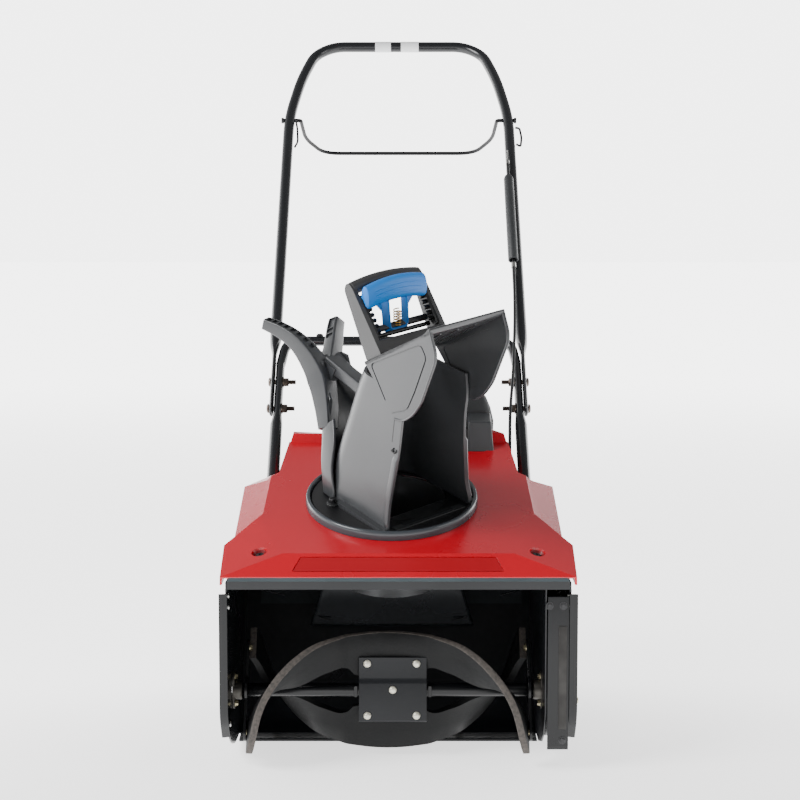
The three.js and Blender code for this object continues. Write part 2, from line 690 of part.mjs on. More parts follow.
function handleBar() {
  const across = onHandle(0, 0, 1).map((v, i) => v - onHandle(0, 0, 0)[i]);
  const upperPath = [];
  const upperSizes = [];
  const flat = [[-250, 209.4, 3.7, 11.5], [-130, 209.4, 3.7, 11.5], [-112, 210, 6.6, 10.8],
    [-92, UPPER_X, TUBE_R, TUBE_R]];
  for (const [along, x, wide, high] of flat) {
    upperPath.push(new THREE.Vector3(...onHandle(-x, along)));
    upperSizes.push([wide, high]);
  }
  const bent = bend([
    onHandle(-UPPER_X, -80), onHandle(-UPPER_X, 468), onHandle(-190, 577), onHandle(-166, 650),
    onHandle(-128, 676), onHandle(128, 676), onHandle(166, 650), onHandle(190, 577),
    onHandle(UPPER_X, 468), onHandle(UPPER_X, -80),
  ], 42, 3);
  for (const point of bent) {
    upperPath.push(point);
    upperSizes.push([TUBE_R, TUBE_R]);
  }
  for (const [along, x, wide, high] of [...flat].reverse()) {
    upperPath.push(new THREE.Vector3(...onHandle(x, along)));
    upperSizes.push([wide, high]);
  }
  const lowerPath = [];
  const lowerSizes = [];
  const foot = [[-425, 200, TUBE_R, TUBE_R], [-275, 199.6, TUBE_R, TUBE_R], [-252, 198.4, 7, 11],
    [-150, 198.2, 7, 11]];
  for (const [along, x, wide, high] of foot) {
    lowerPath.push(new THREE.Vector3(...onHandle(-x, along)));
    lowerSizes.push([wide, high]);
  }
  const turnIn = bend([
    onHandle(-197.6, -145), onHandle(-190, -94), onHandle(190, -94), onHandle(197.6, -145),
  ], 42, 5);
  for (const point of turnIn) {
    lowerPath.push(point);
    lowerSizes.push([8, 8.5]);
  }
  for (const [along, x, wide, high] of [...foot].reverse()) {
    lowerPath.push(new THREE.Vector3(...onHandle(x, along)));
    lowerSizes.push([wide, high]);
  }
  let upper = bar(upperPath, TUBE_R, 10, upperSizes, across);
  let lower = bar(lowerPath, TUBE_R, 10, lowerSizes, across);
  for (const along of BOLT_ALONG) {
    const hole = rod(onHandle(-240, along), [1, 0, 0], 480, 4 + GAP, 10);
    upper = upper.subtract(hole);
    lower = lower.subtract(hole);
  }
  const pin = rod(onHandle(-240, PIVOT_ALONG), [1, 0, 0], 480, BAIL_R + GAP, 10);
  addPart("upper_handle", upper.subtract(pin), blackSteel);
  addPart("lower_handle", lower, blackSteel);
}

function handleBolts() {
  const names = [["left", -1], ["right", 1]];
  for (const [name, side] of names) {
    BOLT_ALONG.forEach((along, i) => {
      const start = onHandle(side * 217, along);
      const profile = [
        [0, 0], [7, 0], [8, 3.4], [8, 3.5], [3.9, 3.6], [3.9, 26.2], [7.6, 26.3], [7.6, 34],
        [3.9, 34.1], [3.9, 43], [2.4, 46], [0, 46],
      ];
      const bolt = turned(profile, 12, start, [-side, 0, 0]);
      addPart("handle_bolt_" + name + "_" + (i + 1), bolt, zinc);
    });
  }
}

function bail() {
  const swing = rad(-14.3);
  const reach = 203;
  const pivot = onHandle(0, PIVOT_ALONG);
  const at = (x, s) => [x, pivot[1] + s * Math.cos(swing), pivot[2] + s * Math.sin(swing)];
  const path = bend([
    at(-223, 0), at(-198, 0), at(-189, 0), at(-187, 110), at(-152, reach), at(152, reach),
    at(187, 110), at(189, 0), at(198, 0), at(223, 0),
  ], 34, 3);
  addPart("bail", bar(path, BAIL_R, 7), blackSteel);
}

function cableAndGuides() {
  const cover = [onHandle(201, 78, 18), onHandle(201, 288, 18)];
  const axis = cover[1].map((v, i) => v - cover[0][i]);
  const length = Math.hypot(...axis);
  const sleeve = turnedRing([[6, 0], [9, 0], [9, length - 6], [7, length], [6, length]], 16, cover[0], axis);
  addPart("spring_cover", sleeve, greyPlastic);
  const cable = bend([
    onHandle(201, 330, 18), onHandle(201, 40, 18), onHandle(198, -60, 17), onHandle(190, -180, 20),
    onHandle(181, -262, 20), [178.5, 402, 398],
  ], 40, 3);
  addPart("control_cable", bar(cable, 2.6, 7), blackPlastic);
  const loop = bend([
    onHandle(221, 440), onHandle(229, 438), onHandle(232, 412), onHandle(229, 388), onHandle(221.5, 394),
  ], 10, 3);
  addPart("rope_guide", bar(loop, 2.2, 7), steel);
  const tie = bend([
    onHandle(-195.6, 452, 8), onHandle(-192, 430, 6), onHandle(-190, 396, 4), onHandle(-195, 380, 6),
  ], 8, 3);
  addPart("wire_loop", bar(tie, 2, 6), steel);
}

// ---------- chute ----------

// Local chute coordinates: right of the chute, forward from its axis, height above the collar.
function placeChute(body) {
  const matrix = new THREE.Matrix4()
    .makeTranslation(CHUTE.x, CHUTE.y, CHUTE.z)
    .multiply(new THREE.Matrix4().makeRotationX(rad(DECK.slope)))
    .multiply(new THREE.Matrix4().makeRotationZ(rad(CHUTE.turn)));
  const geometry = geometryOf(body);
  geometry.applyMatrix4(matrix);
  return solid(geometry);
}

function local(right, forward, height) {
  return [right, -forward, height];
}

// Half-width, front edge and back of the chute's channel at each height.
const CHANNEL = [
  { h: 0, w: 76, front: 92, back: -74 },
  { h: 30, w: 71, front: 89, back: -76 },
  { h: 60, w: 67, front: 91, back: -72 },
  { h: 90, w: 63, front: 94, back: -64 },
  { h: 120, w: 60, front: 97, back: -54 },
  { h: 150, w: 58.5, front: 100, back: -43 },
  { h: 180, w: 58.5, front: 104, back: -30 },
  { h: 212, w: 58.5, front: 100, back: -14 },
];

function chuteBody() {
  const rings = CHANNEL.map((station) => {
    const corner = 44;
    const { h, w, front, back } = station;
    const steps = [0, 22.5, 45, 67.5, 90].map(rad);
    const arc = (r) => steps.map((a) => [w - corner + r * Math.cos(a), back + corner - r * Math.sin(a)]);
    const outer = [[w, front], ...arc(corner)];
    const inner = [[w - 4, front], ...arc(corner - 4)];
    const flipped = (points) => points.map(([x, y]) => [-x, y]);
    const loop = [...outer, ...flipped(outer).reverse(), ...flipped(inner), ...[...inner].reverse()];
    return loop.map(([x, y]) => local(x, y, h - 4));
  });
  const channel = loft(rings);
  const lipFlange = [-1, 1].map((side) => {
    const strip = CHANNEL.slice(1, 5).map(({ h, w, front }) => {
      const x = side * w;
      return [
        local(x - side * 2, front - 8, h), local(x + side * 3, front - 8, h),
        local(x + side * 3, front + 1, h), local(x - side * 2, front + 1, h),
      ];
    });
    return loft(strip);
  });
  const flange = turnedRing([[80, -8], [118, -8], [118, -4], [80, -3]], 30, [0, 0, 0], [0, 0, 1]);
  const apron = hull([
    local(-60, 60, -8), local(60, 60, -8), local(-60, 96, -3), local(60, 96, -3),
    local(-60, 96, -8), local(60, 96, -8), local(-60, 52, -8), local(60, 52, -8),
  ]);
  const trim = rod([0, 0, -20], [0, 0, 1], 60, 118, 30);
  const low = channel.intersect(trim);
  const high = channel.subtract(rod([0, 0, -20], [0, 0, 1], 20, 200, 8));
  return join(low, high, flange, apron, ...lipFlange);
}

// Fork-shaped handle behind the chute: a curved shield, a stem and two prongs.
function chuteHandleBody() {
  const stations = [
    { h: -2, w: 80, edge: -34, back: -92 },
    { h: 40, w: 76, edge: -46, back: -100 },
    { h: 80, w: 58, edge: -64, back: -122 },
    { h: 115, w: 38, edge: -98, back: -150 },
    { h: 145, w: 27, edge: -130, back: -168 },
    { h: 168, w: 27, edge: -140, back: -176 },
  ];
  const ring = ({ h, w, edge, back }) => {
    const outer = [[w, edge], [w * 0.92, back + 20], [w * 0.5, back], [-w * 0.5, back],
      [-w * 0.92, back + 20], [-w, edge]];
    const inner = [[-w + 5, edge], [-w * 0.92 + 5, back + 23], [-w * 0.5 + 3, back + 5],
      [w * 0.5 - 3, back + 5], [w * 0.92 - 5, back + 23], [w - 5, edge]];
    return [...outer, ...inner].map(([x, y]) => local(x, y, h));
  };
  const shield = loft(stations.map(ring));
  const routes = [
    [local(-8, -140, 150), local(-28, -182, 187), local(-56, -240, 207)],
    [local(6, -136, 152), local(22, -166, 184), local(46, -202, 197)],
  ];
  const prongs = routes.map((route) => {
    const path = bend(route, 22, 4);
    return bar(path, 12, 8, path.map((_, i) => [11, 15 - i]), [0, 0, 1]);
  });
  const knot = hull([
    local(-24, -128, 150), local(24, -128, 150), local(-24, -168, 150), local(24, -168, 150),
    local(-22, -122, 180), local(22, -122, 180), local(-26, -172, 176), local(26, -172, 176),
  ]);
  const strut = hull([
    local(-20, -52, 152), local(20, -52, 152), local(-20, -52, 164), local(20, -52, 164),
    local(-20, -132, 168), local(20, -132, 168), local(-20, -132, 180), local(20, -132, 180),
  ]);
  return join(shield, knot, strut, ...prongs);
}

const WING = [[22, 230], [156, 311], [167, 322], [180, 293], [180, 279], [150, 210], [133, 187],
  [112, 171], [92, 168], [40, 214]];

function deflectorBody() {
  const wings = [-1, 1].map((side) => {
    const rings = [59.4, 63.4].map((x) => WING.map(([f, h]) => local(side * x, f, h)));
    return loft(rings, 1, 2);
  });
  const roof = [[22, 230], [156, 311], [167, 322], [166, 317], [157, 306.5], [24, 225.5]];
  const cover = loft([-63.4, 63.4].map((x) => roof.map(([f, h]) => local(x, f, h))), 1, 2);
  return join(...wings, cover);
}

function gripBody() {
  const rail = [[-28, 320], [-21, 331], [-12, 330], [56, 253.5], [26, 235]];
  const rails = [-1, 1].map((side) =>
    loft([52, 60].map((x) => rail.map(([f, h]) => local(side * x, f, h))), 1, 2),
  );
  const top = bar([local(-54, -20, 323), local(54, -20, 323)], 8.5, 10, null, [0, 1, 0]);
  const foot = [[30, 238], [56, 253.8], [50, 262], [24, 246]];
  const bottom = loft([-56, 56].map((x) => foot.map(([f, h]) => local(x, f, h))), 1, 2);
  return join(...rails, top, bottom);
}

function triggerBody() {
  const path = [[-49, -2], [-30, 4], [0, 7], [30, 4], [49, -2]].map(([x, dz]) =>
    local(x, 4, 317 + dz),
  );
  const bow = bar(path, 6, 8, path.map(() => [5, 16]), [0, 0, 1]);
  const loop = bar(
    bend([local(-14, 4, 320), local(-12, 8, 268), local(12, 8, 268), local(14, 4, 320)], 9, 3),
    4.5,
    8,
  );
  return join(bow, loop);
}

function chuteAssembly() {
  const chute = chuteBody();
  const chuteHandle = chuteHandleBody();
  const deflector = deflectorBody();
  const grip = gripBody().subtract(deflector).decompose();
  grip.sort((a, b) => b.volume() - a.volume());
  addPart("chute", placeChute(chute), blackPlastic);
  addPart("chute_handle", placeChute(chuteHandle), blackPlastic);
  addPart("deflector", placeChute(deflector), blackPlastic);
  addPart("deflector_grip", placeChute(grip[0]), greyPlastic);
  addPart("deflector_trigger", placeChute(triggerBody()), bluePlastic);
  const bolt = rod(local(-88, -26, -2.5), [0, 0, 1], 9, 6, 12);
  addPart("chute_bolt", placeChute(bolt), steel);
}

sidePlates();
rotorHousing();
scraper();
throatDuct();
chuteCollar();
beltCase();
beltCover();
hood();
rotor();
drive();
chassis();
wheels();
engine();
controls();
handleBar();
handleBolts();
bail();
cableAndGuides();
chuteAssembly();

export default root;
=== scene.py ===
import json
from math import acos, atan2, cos, hypot, pi, radians, sin, tan

import bmesh
import bpy
from mathutils import Matrix, Vector
from mathutils.geometry import tessellate_polygon


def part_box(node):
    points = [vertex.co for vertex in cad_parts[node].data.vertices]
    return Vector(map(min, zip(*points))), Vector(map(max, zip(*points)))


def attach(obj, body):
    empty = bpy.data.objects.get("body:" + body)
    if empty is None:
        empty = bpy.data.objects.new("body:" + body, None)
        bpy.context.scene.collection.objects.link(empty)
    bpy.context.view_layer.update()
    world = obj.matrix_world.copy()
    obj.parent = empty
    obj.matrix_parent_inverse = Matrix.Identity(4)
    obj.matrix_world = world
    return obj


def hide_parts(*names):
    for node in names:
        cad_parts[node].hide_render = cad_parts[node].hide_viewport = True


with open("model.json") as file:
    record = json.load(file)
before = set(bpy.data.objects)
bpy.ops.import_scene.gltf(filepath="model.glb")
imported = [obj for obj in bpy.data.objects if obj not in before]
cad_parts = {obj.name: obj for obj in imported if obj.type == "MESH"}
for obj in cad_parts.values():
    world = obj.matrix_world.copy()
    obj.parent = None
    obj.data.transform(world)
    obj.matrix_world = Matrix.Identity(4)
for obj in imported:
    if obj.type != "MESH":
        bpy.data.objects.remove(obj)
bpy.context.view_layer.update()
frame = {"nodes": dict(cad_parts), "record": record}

# Shapes are written in millimetres: x from the middle to the viewer's right, y back from the
# hood's lip, z up from the ground. mm turns such a point into the shared frame, in metres.
LIP_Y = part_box("hood")[0][1]


def mm(x, y, z):
    return Vector((x / 1000, y / 1000 + LIP_Y, z / 1000))


def middle(node):
    low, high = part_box(node)
    return Vector([(a + b) / 2 for a, b in zip(low, high)])


def front_middle(node):
    low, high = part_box(node)
    return Vector(((low[0] + high[0]) / 2, low[1], (low[2] + high[2]) / 2))


def to_mm(point):
    return point[0] * 1000, (point[1] - LIP_Y) * 1000, point[2] * 1000


JOINTS = {j["name"]: j for j in frame["record"]["behaviour"]["joints"]}
_, ROTOR_Y, ROTOR_Z = to_mm(middle("rotor_shaft"))
ROTOR_X = -15
_, WHEEL_Y, WHEEL_Z = to_mm(middle("tyre_left"))
_, CRANK_Y, CRANK_Z = to_mm(JOINTS["crank_spin"]["pos_m"])
CHUTE_X, CHUTE_Y, CHUTE_Z = to_mm(JOINTS["chute_rotate"]["pos_m"])
CHUTE_AXIS = Vector(JOINTS["chute_rotate"]["axis"]).normalized()
DECK_SLOPE = atan2(-CHUTE_AXIS.y, CHUTE_AXIS.z)
CHUTE_TURN = radians(37)
SIDES = (("left", -1), ("right", 1))
_, PIVOT_Y, PIVOT_Z = to_mm(JOINTS["bail_swing"]["pos_m"])
HANDLE_SLOPE = radians(46.4)


# ---------- meshes ----------


def make(name, verts, faces):
    mesh = bpy.data.meshes.new(name)
    mesh.from_pydata([tuple(v) for v in verts], [], faces)
    mesh.update()
    obj = bpy.data.objects.new(name, mesh)
    bpy.context.scene.collection.objects.link(obj)
    work = bmesh.new()
    work.from_mesh(mesh)
    bmesh.ops.remove_doubles(work, verts=work.verts, dist=1e-6)
    bmesh.ops.recalc_face_normals(work, faces=work.faces)
    work.to_mesh(mesh)
    work.free()
    return obj


def baked(obj):
    """Replaces the object's mesh by the result of its modifiers."""
    graph = bpy.context.evaluated_depsgraph_get()
    result = bpy.data.meshes.new_from_object(obj.evaluated_get(graph))
    obj.modifiers.clear()
    obj.data = result
    return obj


def remove(obj):
    bpy.data.objects.remove(obj, do_unlink=True)


def combine(obj, others, operation):
    for other in others:
        change = obj.modifiers.new("combine", "BOOLEAN")
        change.operation = operation
        change.solver = "EXACT"
        change.object = other
    bpy.context.view_layer.update()
    baked(obj)
    for other in others:
        remove(other)
    return obj


def carve(obj, *cutters):
    return combine(obj, cutters, "DIFFERENCE")


def weld(obj, *others):
    return combine(obj, others, "UNION")


def merge(name, *objs):
    """One piece from several solids that only touch or overlap inside."""
    work = bmesh.new()
    materials = []
    for obj in objs:
        start = len(work.faces)
        work.from_mesh(obj.data)
        work.faces.ensure_lookup_table()
        for face in work.faces[start:]:
            own = obj.data.materials[face.material_index] if obj.data.materials else None
            if own not in materials:
                materials.append(own)
            face.material_index = materials.index(own)
    mesh = bpy.data.meshes.new(name)
    work.to_mesh(mesh)
    work.free()
    for own in materials:
        mesh.materials.append(own)
    for obj in objs:
        remove(obj)
    whole = bpy.data.objects.new(name, mesh)
    bpy.context.scene.collection.objects.link(whole)
    return whole


def painted(obj, material):
    obj.data.materials.clear()
    obj.data.materials.append(material)
    return obj


def shaded(obj, angle=35):
    for face in obj.data.polygons:
        face.use_smooth = True
    obj.data.set_sharp_from_angle(angle=radians(angle))
    return obj


def bevelled(obj, width, segments=2, angle=30):
    edge = obj.modifiers.new("edge", "BEVEL")
    edge.width = width / 1000
    edge.segments = segments
    edge.limit_method = "ANGLE"
    edge.angle_limit = radians(angle)
    edge.harden_normals = True
    edge.use_clamp_overlap = True
    return obj


def piece(obj, body, material=None, node=None, slot=None, bevel=0, segments=2, angle=35):
    """Finishes a piece: paint, smooth shading, soft edges, the body it rides on, the node it shows."""
    if material:
        painted(obj, material)
        slot = slot or SLOT_OF.get(material.name)
    shaded(obj, angle)
    if bevel:
        bevelled(obj, bevel, segments, angle)
    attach(obj, body)
    if node:
        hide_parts(node)
    return obj


def skin(name, rings, caps=True, closed=False):
    """Joins rings of equal length into a tube of quads."""
    count = len(rings[0])
    verts = [p for ring in rings for p in ring]
    faces = []
    spans = len(rings) if closed else len(rings) - 1
    for k in range(spans):
        for i in range(count):
            a = k * count + i
            b = k * count + (i + 1) % count
            c = ((k + 1) % len(rings)) * count + (i + 1) % count
            d = ((k + 1) % len(rings)) * count + i
            faces.append([a, b, c, d])
    if caps and not closed:
        faces.append(list(range(count))[::-1])
        faces.append([(len(rings) - 1) * count + i for i in range(count)])
    return make(name, verts, faces)


def basis(axis):
    """Two directions across an axis."""
    axis = Vector(axis).normalized()
    side = Vector((1, 0, 0)) if abs(axis.x) < 0.9 else Vector((0, 0, 1))
    u = side.cross(axis).normalized()
    return u, axis.cross(u)


def lathe(name, profile, origin, axis, segments=64, closed=False):
    """Turns [radius, distance along the axis] points, in mm, round an axis."""
    axis = Vector(axis).normalized()
    u, v = basis(axis)
    rings = []
    for i in range(segments):
        a = 2 * pi * i / segments
        out = u * cos(a) + v * sin(a)
        rings.append([origin + axis * (s / 1000) + out * (r / 1000) for r, s in profile])
    count = len(profile)
    verts = [p for ring in rings for p in ring]
    faces = []
    last = count if closed else count - 1
    for k in range(segments):
        n = (k + 1) % segments
        for i in range(last):
            j = (i + 1) % count
            faces.append([k * count + i, k * count + j, n * count + j, n * count + i])
    if not closed:
        if profile[0][0] > 1e-6:
            faces.append([k * count for k in range(segments)])
        if profile[-1][0] > 1e-6:
            faces.append([k * count + count - 1 for k in range(segments)])
    return make(name, verts, faces)


def rod(name, start, end, radius, segments=32, chamfer=0.0):
    axis = end - start
    length = axis.length * 1000
    c = chamfer
    profile = [(0, 0), (radius - c, 0), (radius, c), (radius, length - c), (radius - c, length),
        (0, length)]
    if not c:
        profile = [(0, 0), (radius, 0), (radius, length), (0, length)]
    return lathe(name, profile, start, axis, segments)


def hex_bolt(name, place, axis, radius, height):
    """A hexagon head on a thin washer."""
    axis = Vector(axis).normalized()
    washer = lathe("washer", [(0, 0), (radius * 1.35, 0), (radius * 1.35, 0.9), (0, 0.9)], place, axis,
        28)
    head = lathe("head", [(0, 0.8), (radius, 0.8), (radius, height - 0.6), (radius * 0.86, height),
        (0, height)], place, axis, 6)
    return merge(name, washer, head)


def bolts(name, body, finish, places, axis, radius, height):
    """Several bolt heads as one piece."""
    heads = [hex_bolt("bolt", place, axis, radius, height) for place in places]
    piece(merge(name, *heads), body, finish)


def prism(name, outline, place, a, b, holes=()):
    """A flat plate: outline and holes are 2-D, place(u, v, t) gives the point, t from a to b."""
    loops = [outline, *holes]
    flat = [Vector((u, v, 0)) for loop in loops for u, v in loop]
    triangles = tessellate_polygon([[Vector((u, v, 0)) for u, v in loop] for loop in loops])
    verts = [place(p.x, p.y, a) for p in flat] + [place(p.x, p.y, b) for p in flat]
    n = len(flat)
    faces = [[i, j, k] for i, j, k in triangles] + [[i + n, k + n, j + n] for i, j, k in triangles]
    start = 0
    for loop in loops:
        count = len(loop)
        for i in range(count):
            p, q = start + i, start + (i + 1) % count
            faces.append([p, q, q + n, p + n])
        start += count
    obj = make(name, verts, faces)
    work = bmesh.new()
    work.from_mesh(obj.data)
    bmesh.ops.dissolve_limit(work, angle_limit=0.01, verts=work.verts, edges=work.edges)
    work.to_mesh(obj.data)
    work.free()
    return obj


def rect(a0, a1, b0, b1):
    return [(a0, b0), (a1, b0), (a1, b1), (a0, b1)]


def side_plate(name, outline, x0, x1, holes=()):
    return prism(name, outline, lambda y, z, x: mm(x, y, z), *sorted((x0, x1)), holes)


def face_plate(name, outline, y0, y1, holes=()):
    return prism(name, outline, lambda x, z, y: mm(x, y, z), y0, y1, holes)


def level_plate(name, outline, z0, z1, holes=()):
    return prism(name, outline, mm, z0, z1, holes)


def box(name, x0, x1, y0, y1, z0, z1):
    return side_plate(name, rect(y0, y1, z0, z1), x0, x1)


def hull(name, points):
    mesh = bpy.data.meshes.new(name)
    work = bmesh.new()
    for p in points:
        work.verts.new(p)
    made = bmesh.ops.convex_hull(work, input=work.verts)
    loose = [v for v in made["geom_interior"] if isinstance(v, bmesh.types.BMVert)]
    bmesh.ops.delete(work, geom=loose, context="VERTS")
    bmesh.ops.dissolve_limit(work, angle_limit=0.01, verts=work.verts, edges=work.edges)
    work.to_mesh(mesh)
    work.free()
    obj = bpy.data.objects.new(name, mesh)
    bpy.context.scene.collection.objects.link(obj)
    return obj


def circle(cx, cy, r, count=32, ry=None):
    ry = ry or r
    turns = [2 * pi * i / count for i in range(count)]
    return [(cx + r * cos(a), cy + ry * sin(a)) for a in turns]


def rounded(points, radius, steps=4):
    """Rounds the corners of a closed 2-D outline; radius may be one number or one per corner."""
    out = []
    count = len(points)
    for i, point in enumerate(points):
        r = radius[i] if isinstance(radius, (list, tuple)) else radius
        p = Vector(point)
        before = Vector(points[i - 1]) - p
        after = Vector(points[(i + 1) % count]) - p
        reach = min(r, before.length * 0.48, after.length * 0.48)
        if reach < 1e-3:
            out.append(tuple(p))
            continue
        a = p + before.normalized() * reach
        b = p + after.normalized() * reach
        for k in range(steps + 1):
            t = k / steps
            out.append(tuple(a * (1 - t) ** 2 + p * 2 * t * (1 - t) + b * t * t))
    return out


def stadium(a, b, count=20):
    """The outline round two circles (y, z, r), as a belt runs round two pulleys."""
    along = atan2(b[1] - a[1], b[0] - a[0])
    distance = hypot(b[0] - a[0], b[1] - a[1])
    lean = acos((a[2] - b[2]) / distance)
    out = []
    for c, start, end in ((a, along + lean, along + 2 * pi - lean), (b, along - lean, along + lean)):
        for i in range(count + 1):
            t = start + (end - start) * i / count
            out.append((c[0] + c[2] * cos(t), c[1] + c[2] * sin(t)))
    return out


def shrunk(points, distance):
    """The outline moved inwards; points run round it in one direction."""
    area = sum(p[0] * q[1] - q[0] * p[1] for p, q in zip(points, points[1:] + points[:1]))
    turn = 1 if area > 0 else -1
    out = []
    for i, p in enumerate(points):
        before, after = Vector(points[i - 1]), Vector(points[(i + 1) % len(points)])
        here = Vector(p)
        a, b = (here - before).normalized(), (after - here).normalized()
        na, nb = Vector((-a.y, a.x)) * turn, Vector((-b.y, b.x)) * turn
        mid = (na + nb).normalized()
        out.append(tuple(here + mid * distance / max(mid.dot(na), 0.35)))
    return out


def bend(points, radius, steps=8):
    """Rounds the inner corners of a 3-D path."""
    out = [points[0]]
    for i in range(1, len(points) - 1):
        p = points[i]
        before, after = points[i - 1] - p, points[i + 1] - p
        reach = min(radius / 1000, before.length * 0.48, after.length * 0.48)
        a, b = p + before.normalized() * reach, p + after.normalized() * reach
        for k in range(steps + 1):
            t = k / steps
            out.append(a * (1 - t) ** 2 + p * 2 * t * (1 - t) + b * t * t)
    out.append(points[-1])
    return out


def smooth_path(points, steps=6):
    """A Catmull-Rom path through the points."""
    out = []
    for i in range(len(points) - 1):
        a, b = points[i], points[i + 1]
        before = points[i - 1] if i else a * 2 - b
        after = points[i + 2] if i + 2 < len(points) else b * 2 - a
        for k in range(steps):
            t = k / steps
            out.append(0.5 * (2 * a + (b - before) * t + (2 * before - 5 * a + 4 * b - after) * t * t
                + (3 * a - before - 3 * b + after) * t ** 3))
    out.append(points[-1])
    return out


def sweep(name, path, section, up=(0, 0, 1), caps=True):
    """Carries section(i), a list of 2-D points in mm, along a path."""
    normal = None
    rings = []
    for i, p in enumerate(path):
        tangent = (path[min(i + 1, len(path) - 1)] - path[max(i - 1, 0)]).normalized()
        lean = normal or Vector(up)
        normal = (lean - tangent * lean.dot(tangent)).normalized()
        across = tangent.cross(normal)
        rings.append([p + across * (a / 1000) + normal * (b / 1000) for a, b in section(i)])
    return skin(name, rings, caps)


def tube(name, path, radius, sides=24, sizes=None, up=(0, 0, 1)):
    sizes = sizes or [(radius, radius)] * len(path)
    return sweep(name, path, lambda i: circle(0, 0, sizes[i][0], sides, sizes[i][1]), up)


# ---------- materials ----------


def add_node(nodes, kind, **values):
    """A shader node; a socket's name is given with _ for its spaces."""
    node = nodes.new("ShaderNode" + kind)
    for name, value in values.items():
        node.inputs[name.replace("_", " ")].default_value = value
    return node


def material(name, color, rough, metal=0.0, shade=0.0, shade_size=6.0, grain=0.0, grain_size=900.0,
        rough_var=0.0, coat=0.0, second=None, spec=0.5):
    """A procedural finish: slow colour variation, roughness variation and a fine surface grain."""
    mat = bpy.data.materials.new(name)
    mat.use_nodes = True
    nodes, links = mat.node_tree.nodes, mat.node_tree.links
    shader = nodes["Principled BSDF"]
    shader.inputs["Metallic"].default_value = metal
    shader.inputs["Coat Weight"].default_value = coat
    shader.inputs["Coat Roughness"].default_value = 0.12
    shader.inputs["Specular IOR Level"].default_value = spec
    place = add_node(nodes, "TexCoord")
    cloud = add_node(nodes, "TexNoise", Scale=shade_size, Detail=6)
    links.new(place.outputs["Object"], cloud.inputs["Vector"])
    mix = nodes.new("ShaderNodeMix")
    mix.data_type = "RGBA"
    dark = second or [c * (1 - shade) for c in color]
    mix.inputs["A"].default_value = (*color, 1)
    mix.inputs["B"].default_value = (*dark, 1)
    ramp = add_node(nodes, "MapRange", From_Min=0.4, From_Max=0.7)
    links.new(cloud.outputs["Fac"], ramp.inputs["Value"])
    links.new(ramp.outputs["Result"], mix.inputs["Factor"])
    links.new(mix.outputs["Result"], shader.inputs["Base Color"])
    spread = add_node(nodes, "MapRange", From_Min=0.3, From_Max=0.7, To_Min=max(rough - rough_var, 0.02),
        To_Max=rough + rough_var)
    links.new(cloud.outputs["Fac"], spread.inputs["Value"])
    links.new(spread.outputs["Result"], shader.inputs["Roughness"])
    if grain:
        fine = add_node(nodes, "TexNoise", Scale=grain_size, Detail=3)
        links.new(place.outputs["Object"], fine.inputs["Vector"])
        bump = add_node(nodes, "Bump", Strength=grain, Distance=0.0006)
        links.new(fine.outputs["Fac"], bump.inputs["Height"])
        links.new(bump.outputs["Normal"], shader.inputs["Normal"])
    return mat


BLACK = material("black_coat", (0.0045, 0.005, 0.006), 0.26, shade=0.3, grain=0.05, grain_size=1400,
    rough_var=0.05, spec=0.4)
BAIL_BLACK = material("bail_coat", (0.006, 0.006, 0.007), 0.5, shade=0.2, rough_var=0.04, spec=0.2)
BLACK_INNER = material("black_coat_inside", (0.007, 0.008, 0.010), 0.33, shade=0.4, grain=0.06,
    rough_var=0.06)
TUBE_BLACK = material("black_tube_coat", (0.012, 0.013, 0.015), 0.22, shade=0.2, rough_var=0.04, spec=0.6)
RED = material("red_plastic", (0.56, 0.0020, 0.014), 0.26, shade=0.06, grain=0.015, grain_size=1800,
    rough_var=0.03, coat=0.35)
RED_BAND = material("red_blank_band", (0.40, 0.0015, 0.009), 0.34, shade=0.06, coat=0.2)
RED_DARK = material("red_plastic_shaded", (0.26, 0.002, 0.008), 0.4, shade=0.1)
CHUTE_BLACK = material("chute_plastic", (0.036, 0.038, 0.041), 0.34, shade=0.15, grain=0.08,
    grain_size=1500, rough_var=0.05, spec=0.65)
# Painted shade: a darker copy of the chute plastic for parts inside the chute and under the deflector's
# grip.
CHUTE_PAINTED_SHADE = material("chute_plastic_painted_shade", (0.008, 0.008, 0.009), 0.4, shade=0.2, grain=0.05)
MATT_BLACK = material("matt_plastic", (0.017, 0.018, 0.019), 0.52, shade=0.2, grain=0.14, grain_size=1700,
    rough_var=0.06)
GREY = material("grey_plastic", (0.030, 0.032, 0.034), 0.5, shade=0.15, grain=0.1, rough_var=0.05)
BLUE = material("blue_plastic", (0.012, 0.22, 0.68), 0.42, shade=0.12, grain=0.06, rough_var=0.05,
    second=(0.008, 0.17, 0.58))
RUBBER = material("paddle_rubber", (0.0045, 0.0048, 0.005), 0.55, shade=0.4, shade_size=30, grain=0.4,
    grain_size=420, rough_var=0.12, second=(0.010, 0.0105, 0.011), spec=0.22)
# Painted highlight: the paddles' edge faces painted a lighter brown-grey than the rubber for the light
# along their edges.
RUBBER_EDGE_PAINTED_HIGHLIGHT = material("paddle_edge_painted_highlight", (0.075, 0.064, 0.056), 0.8, shade=0.5, shade_size=220,
    grain=0.8, grain_size=700, second=(0.035, 0.031, 0.028))
TYRE = material("tyre_rubber", (0.016, 0.016, 0.017), 0.72, shade=0.3, shade_size=20, grain=0.3,
    grain_size=600, rough_var=0.08)
ZINC = material("zinc_plate", (0.60, 0.54, 0.36), 0.3, metal=1, shade=0.35, shade_size=60, grain=0.05,
    rough_var=0.1)
STEEL = material("bright_steel", (0.62, 0.62, 0.60), 0.28, metal=1, shade=0.2, shade_size=50,
    rough_var=0.08)
BROWN_ZINC = material("aged_zinc", (0.17, 0.14, 0.12), 0.36, metal=1, shade=0.4, shade_size=90,
    rough_var=0.1, second=(0.10, 0.08, 0.07))
IVORY = material("bolt_ivory", (0.80, 0.77, 0.64), 0.32, metal=0.4, shade=0.15, shade_size=120)
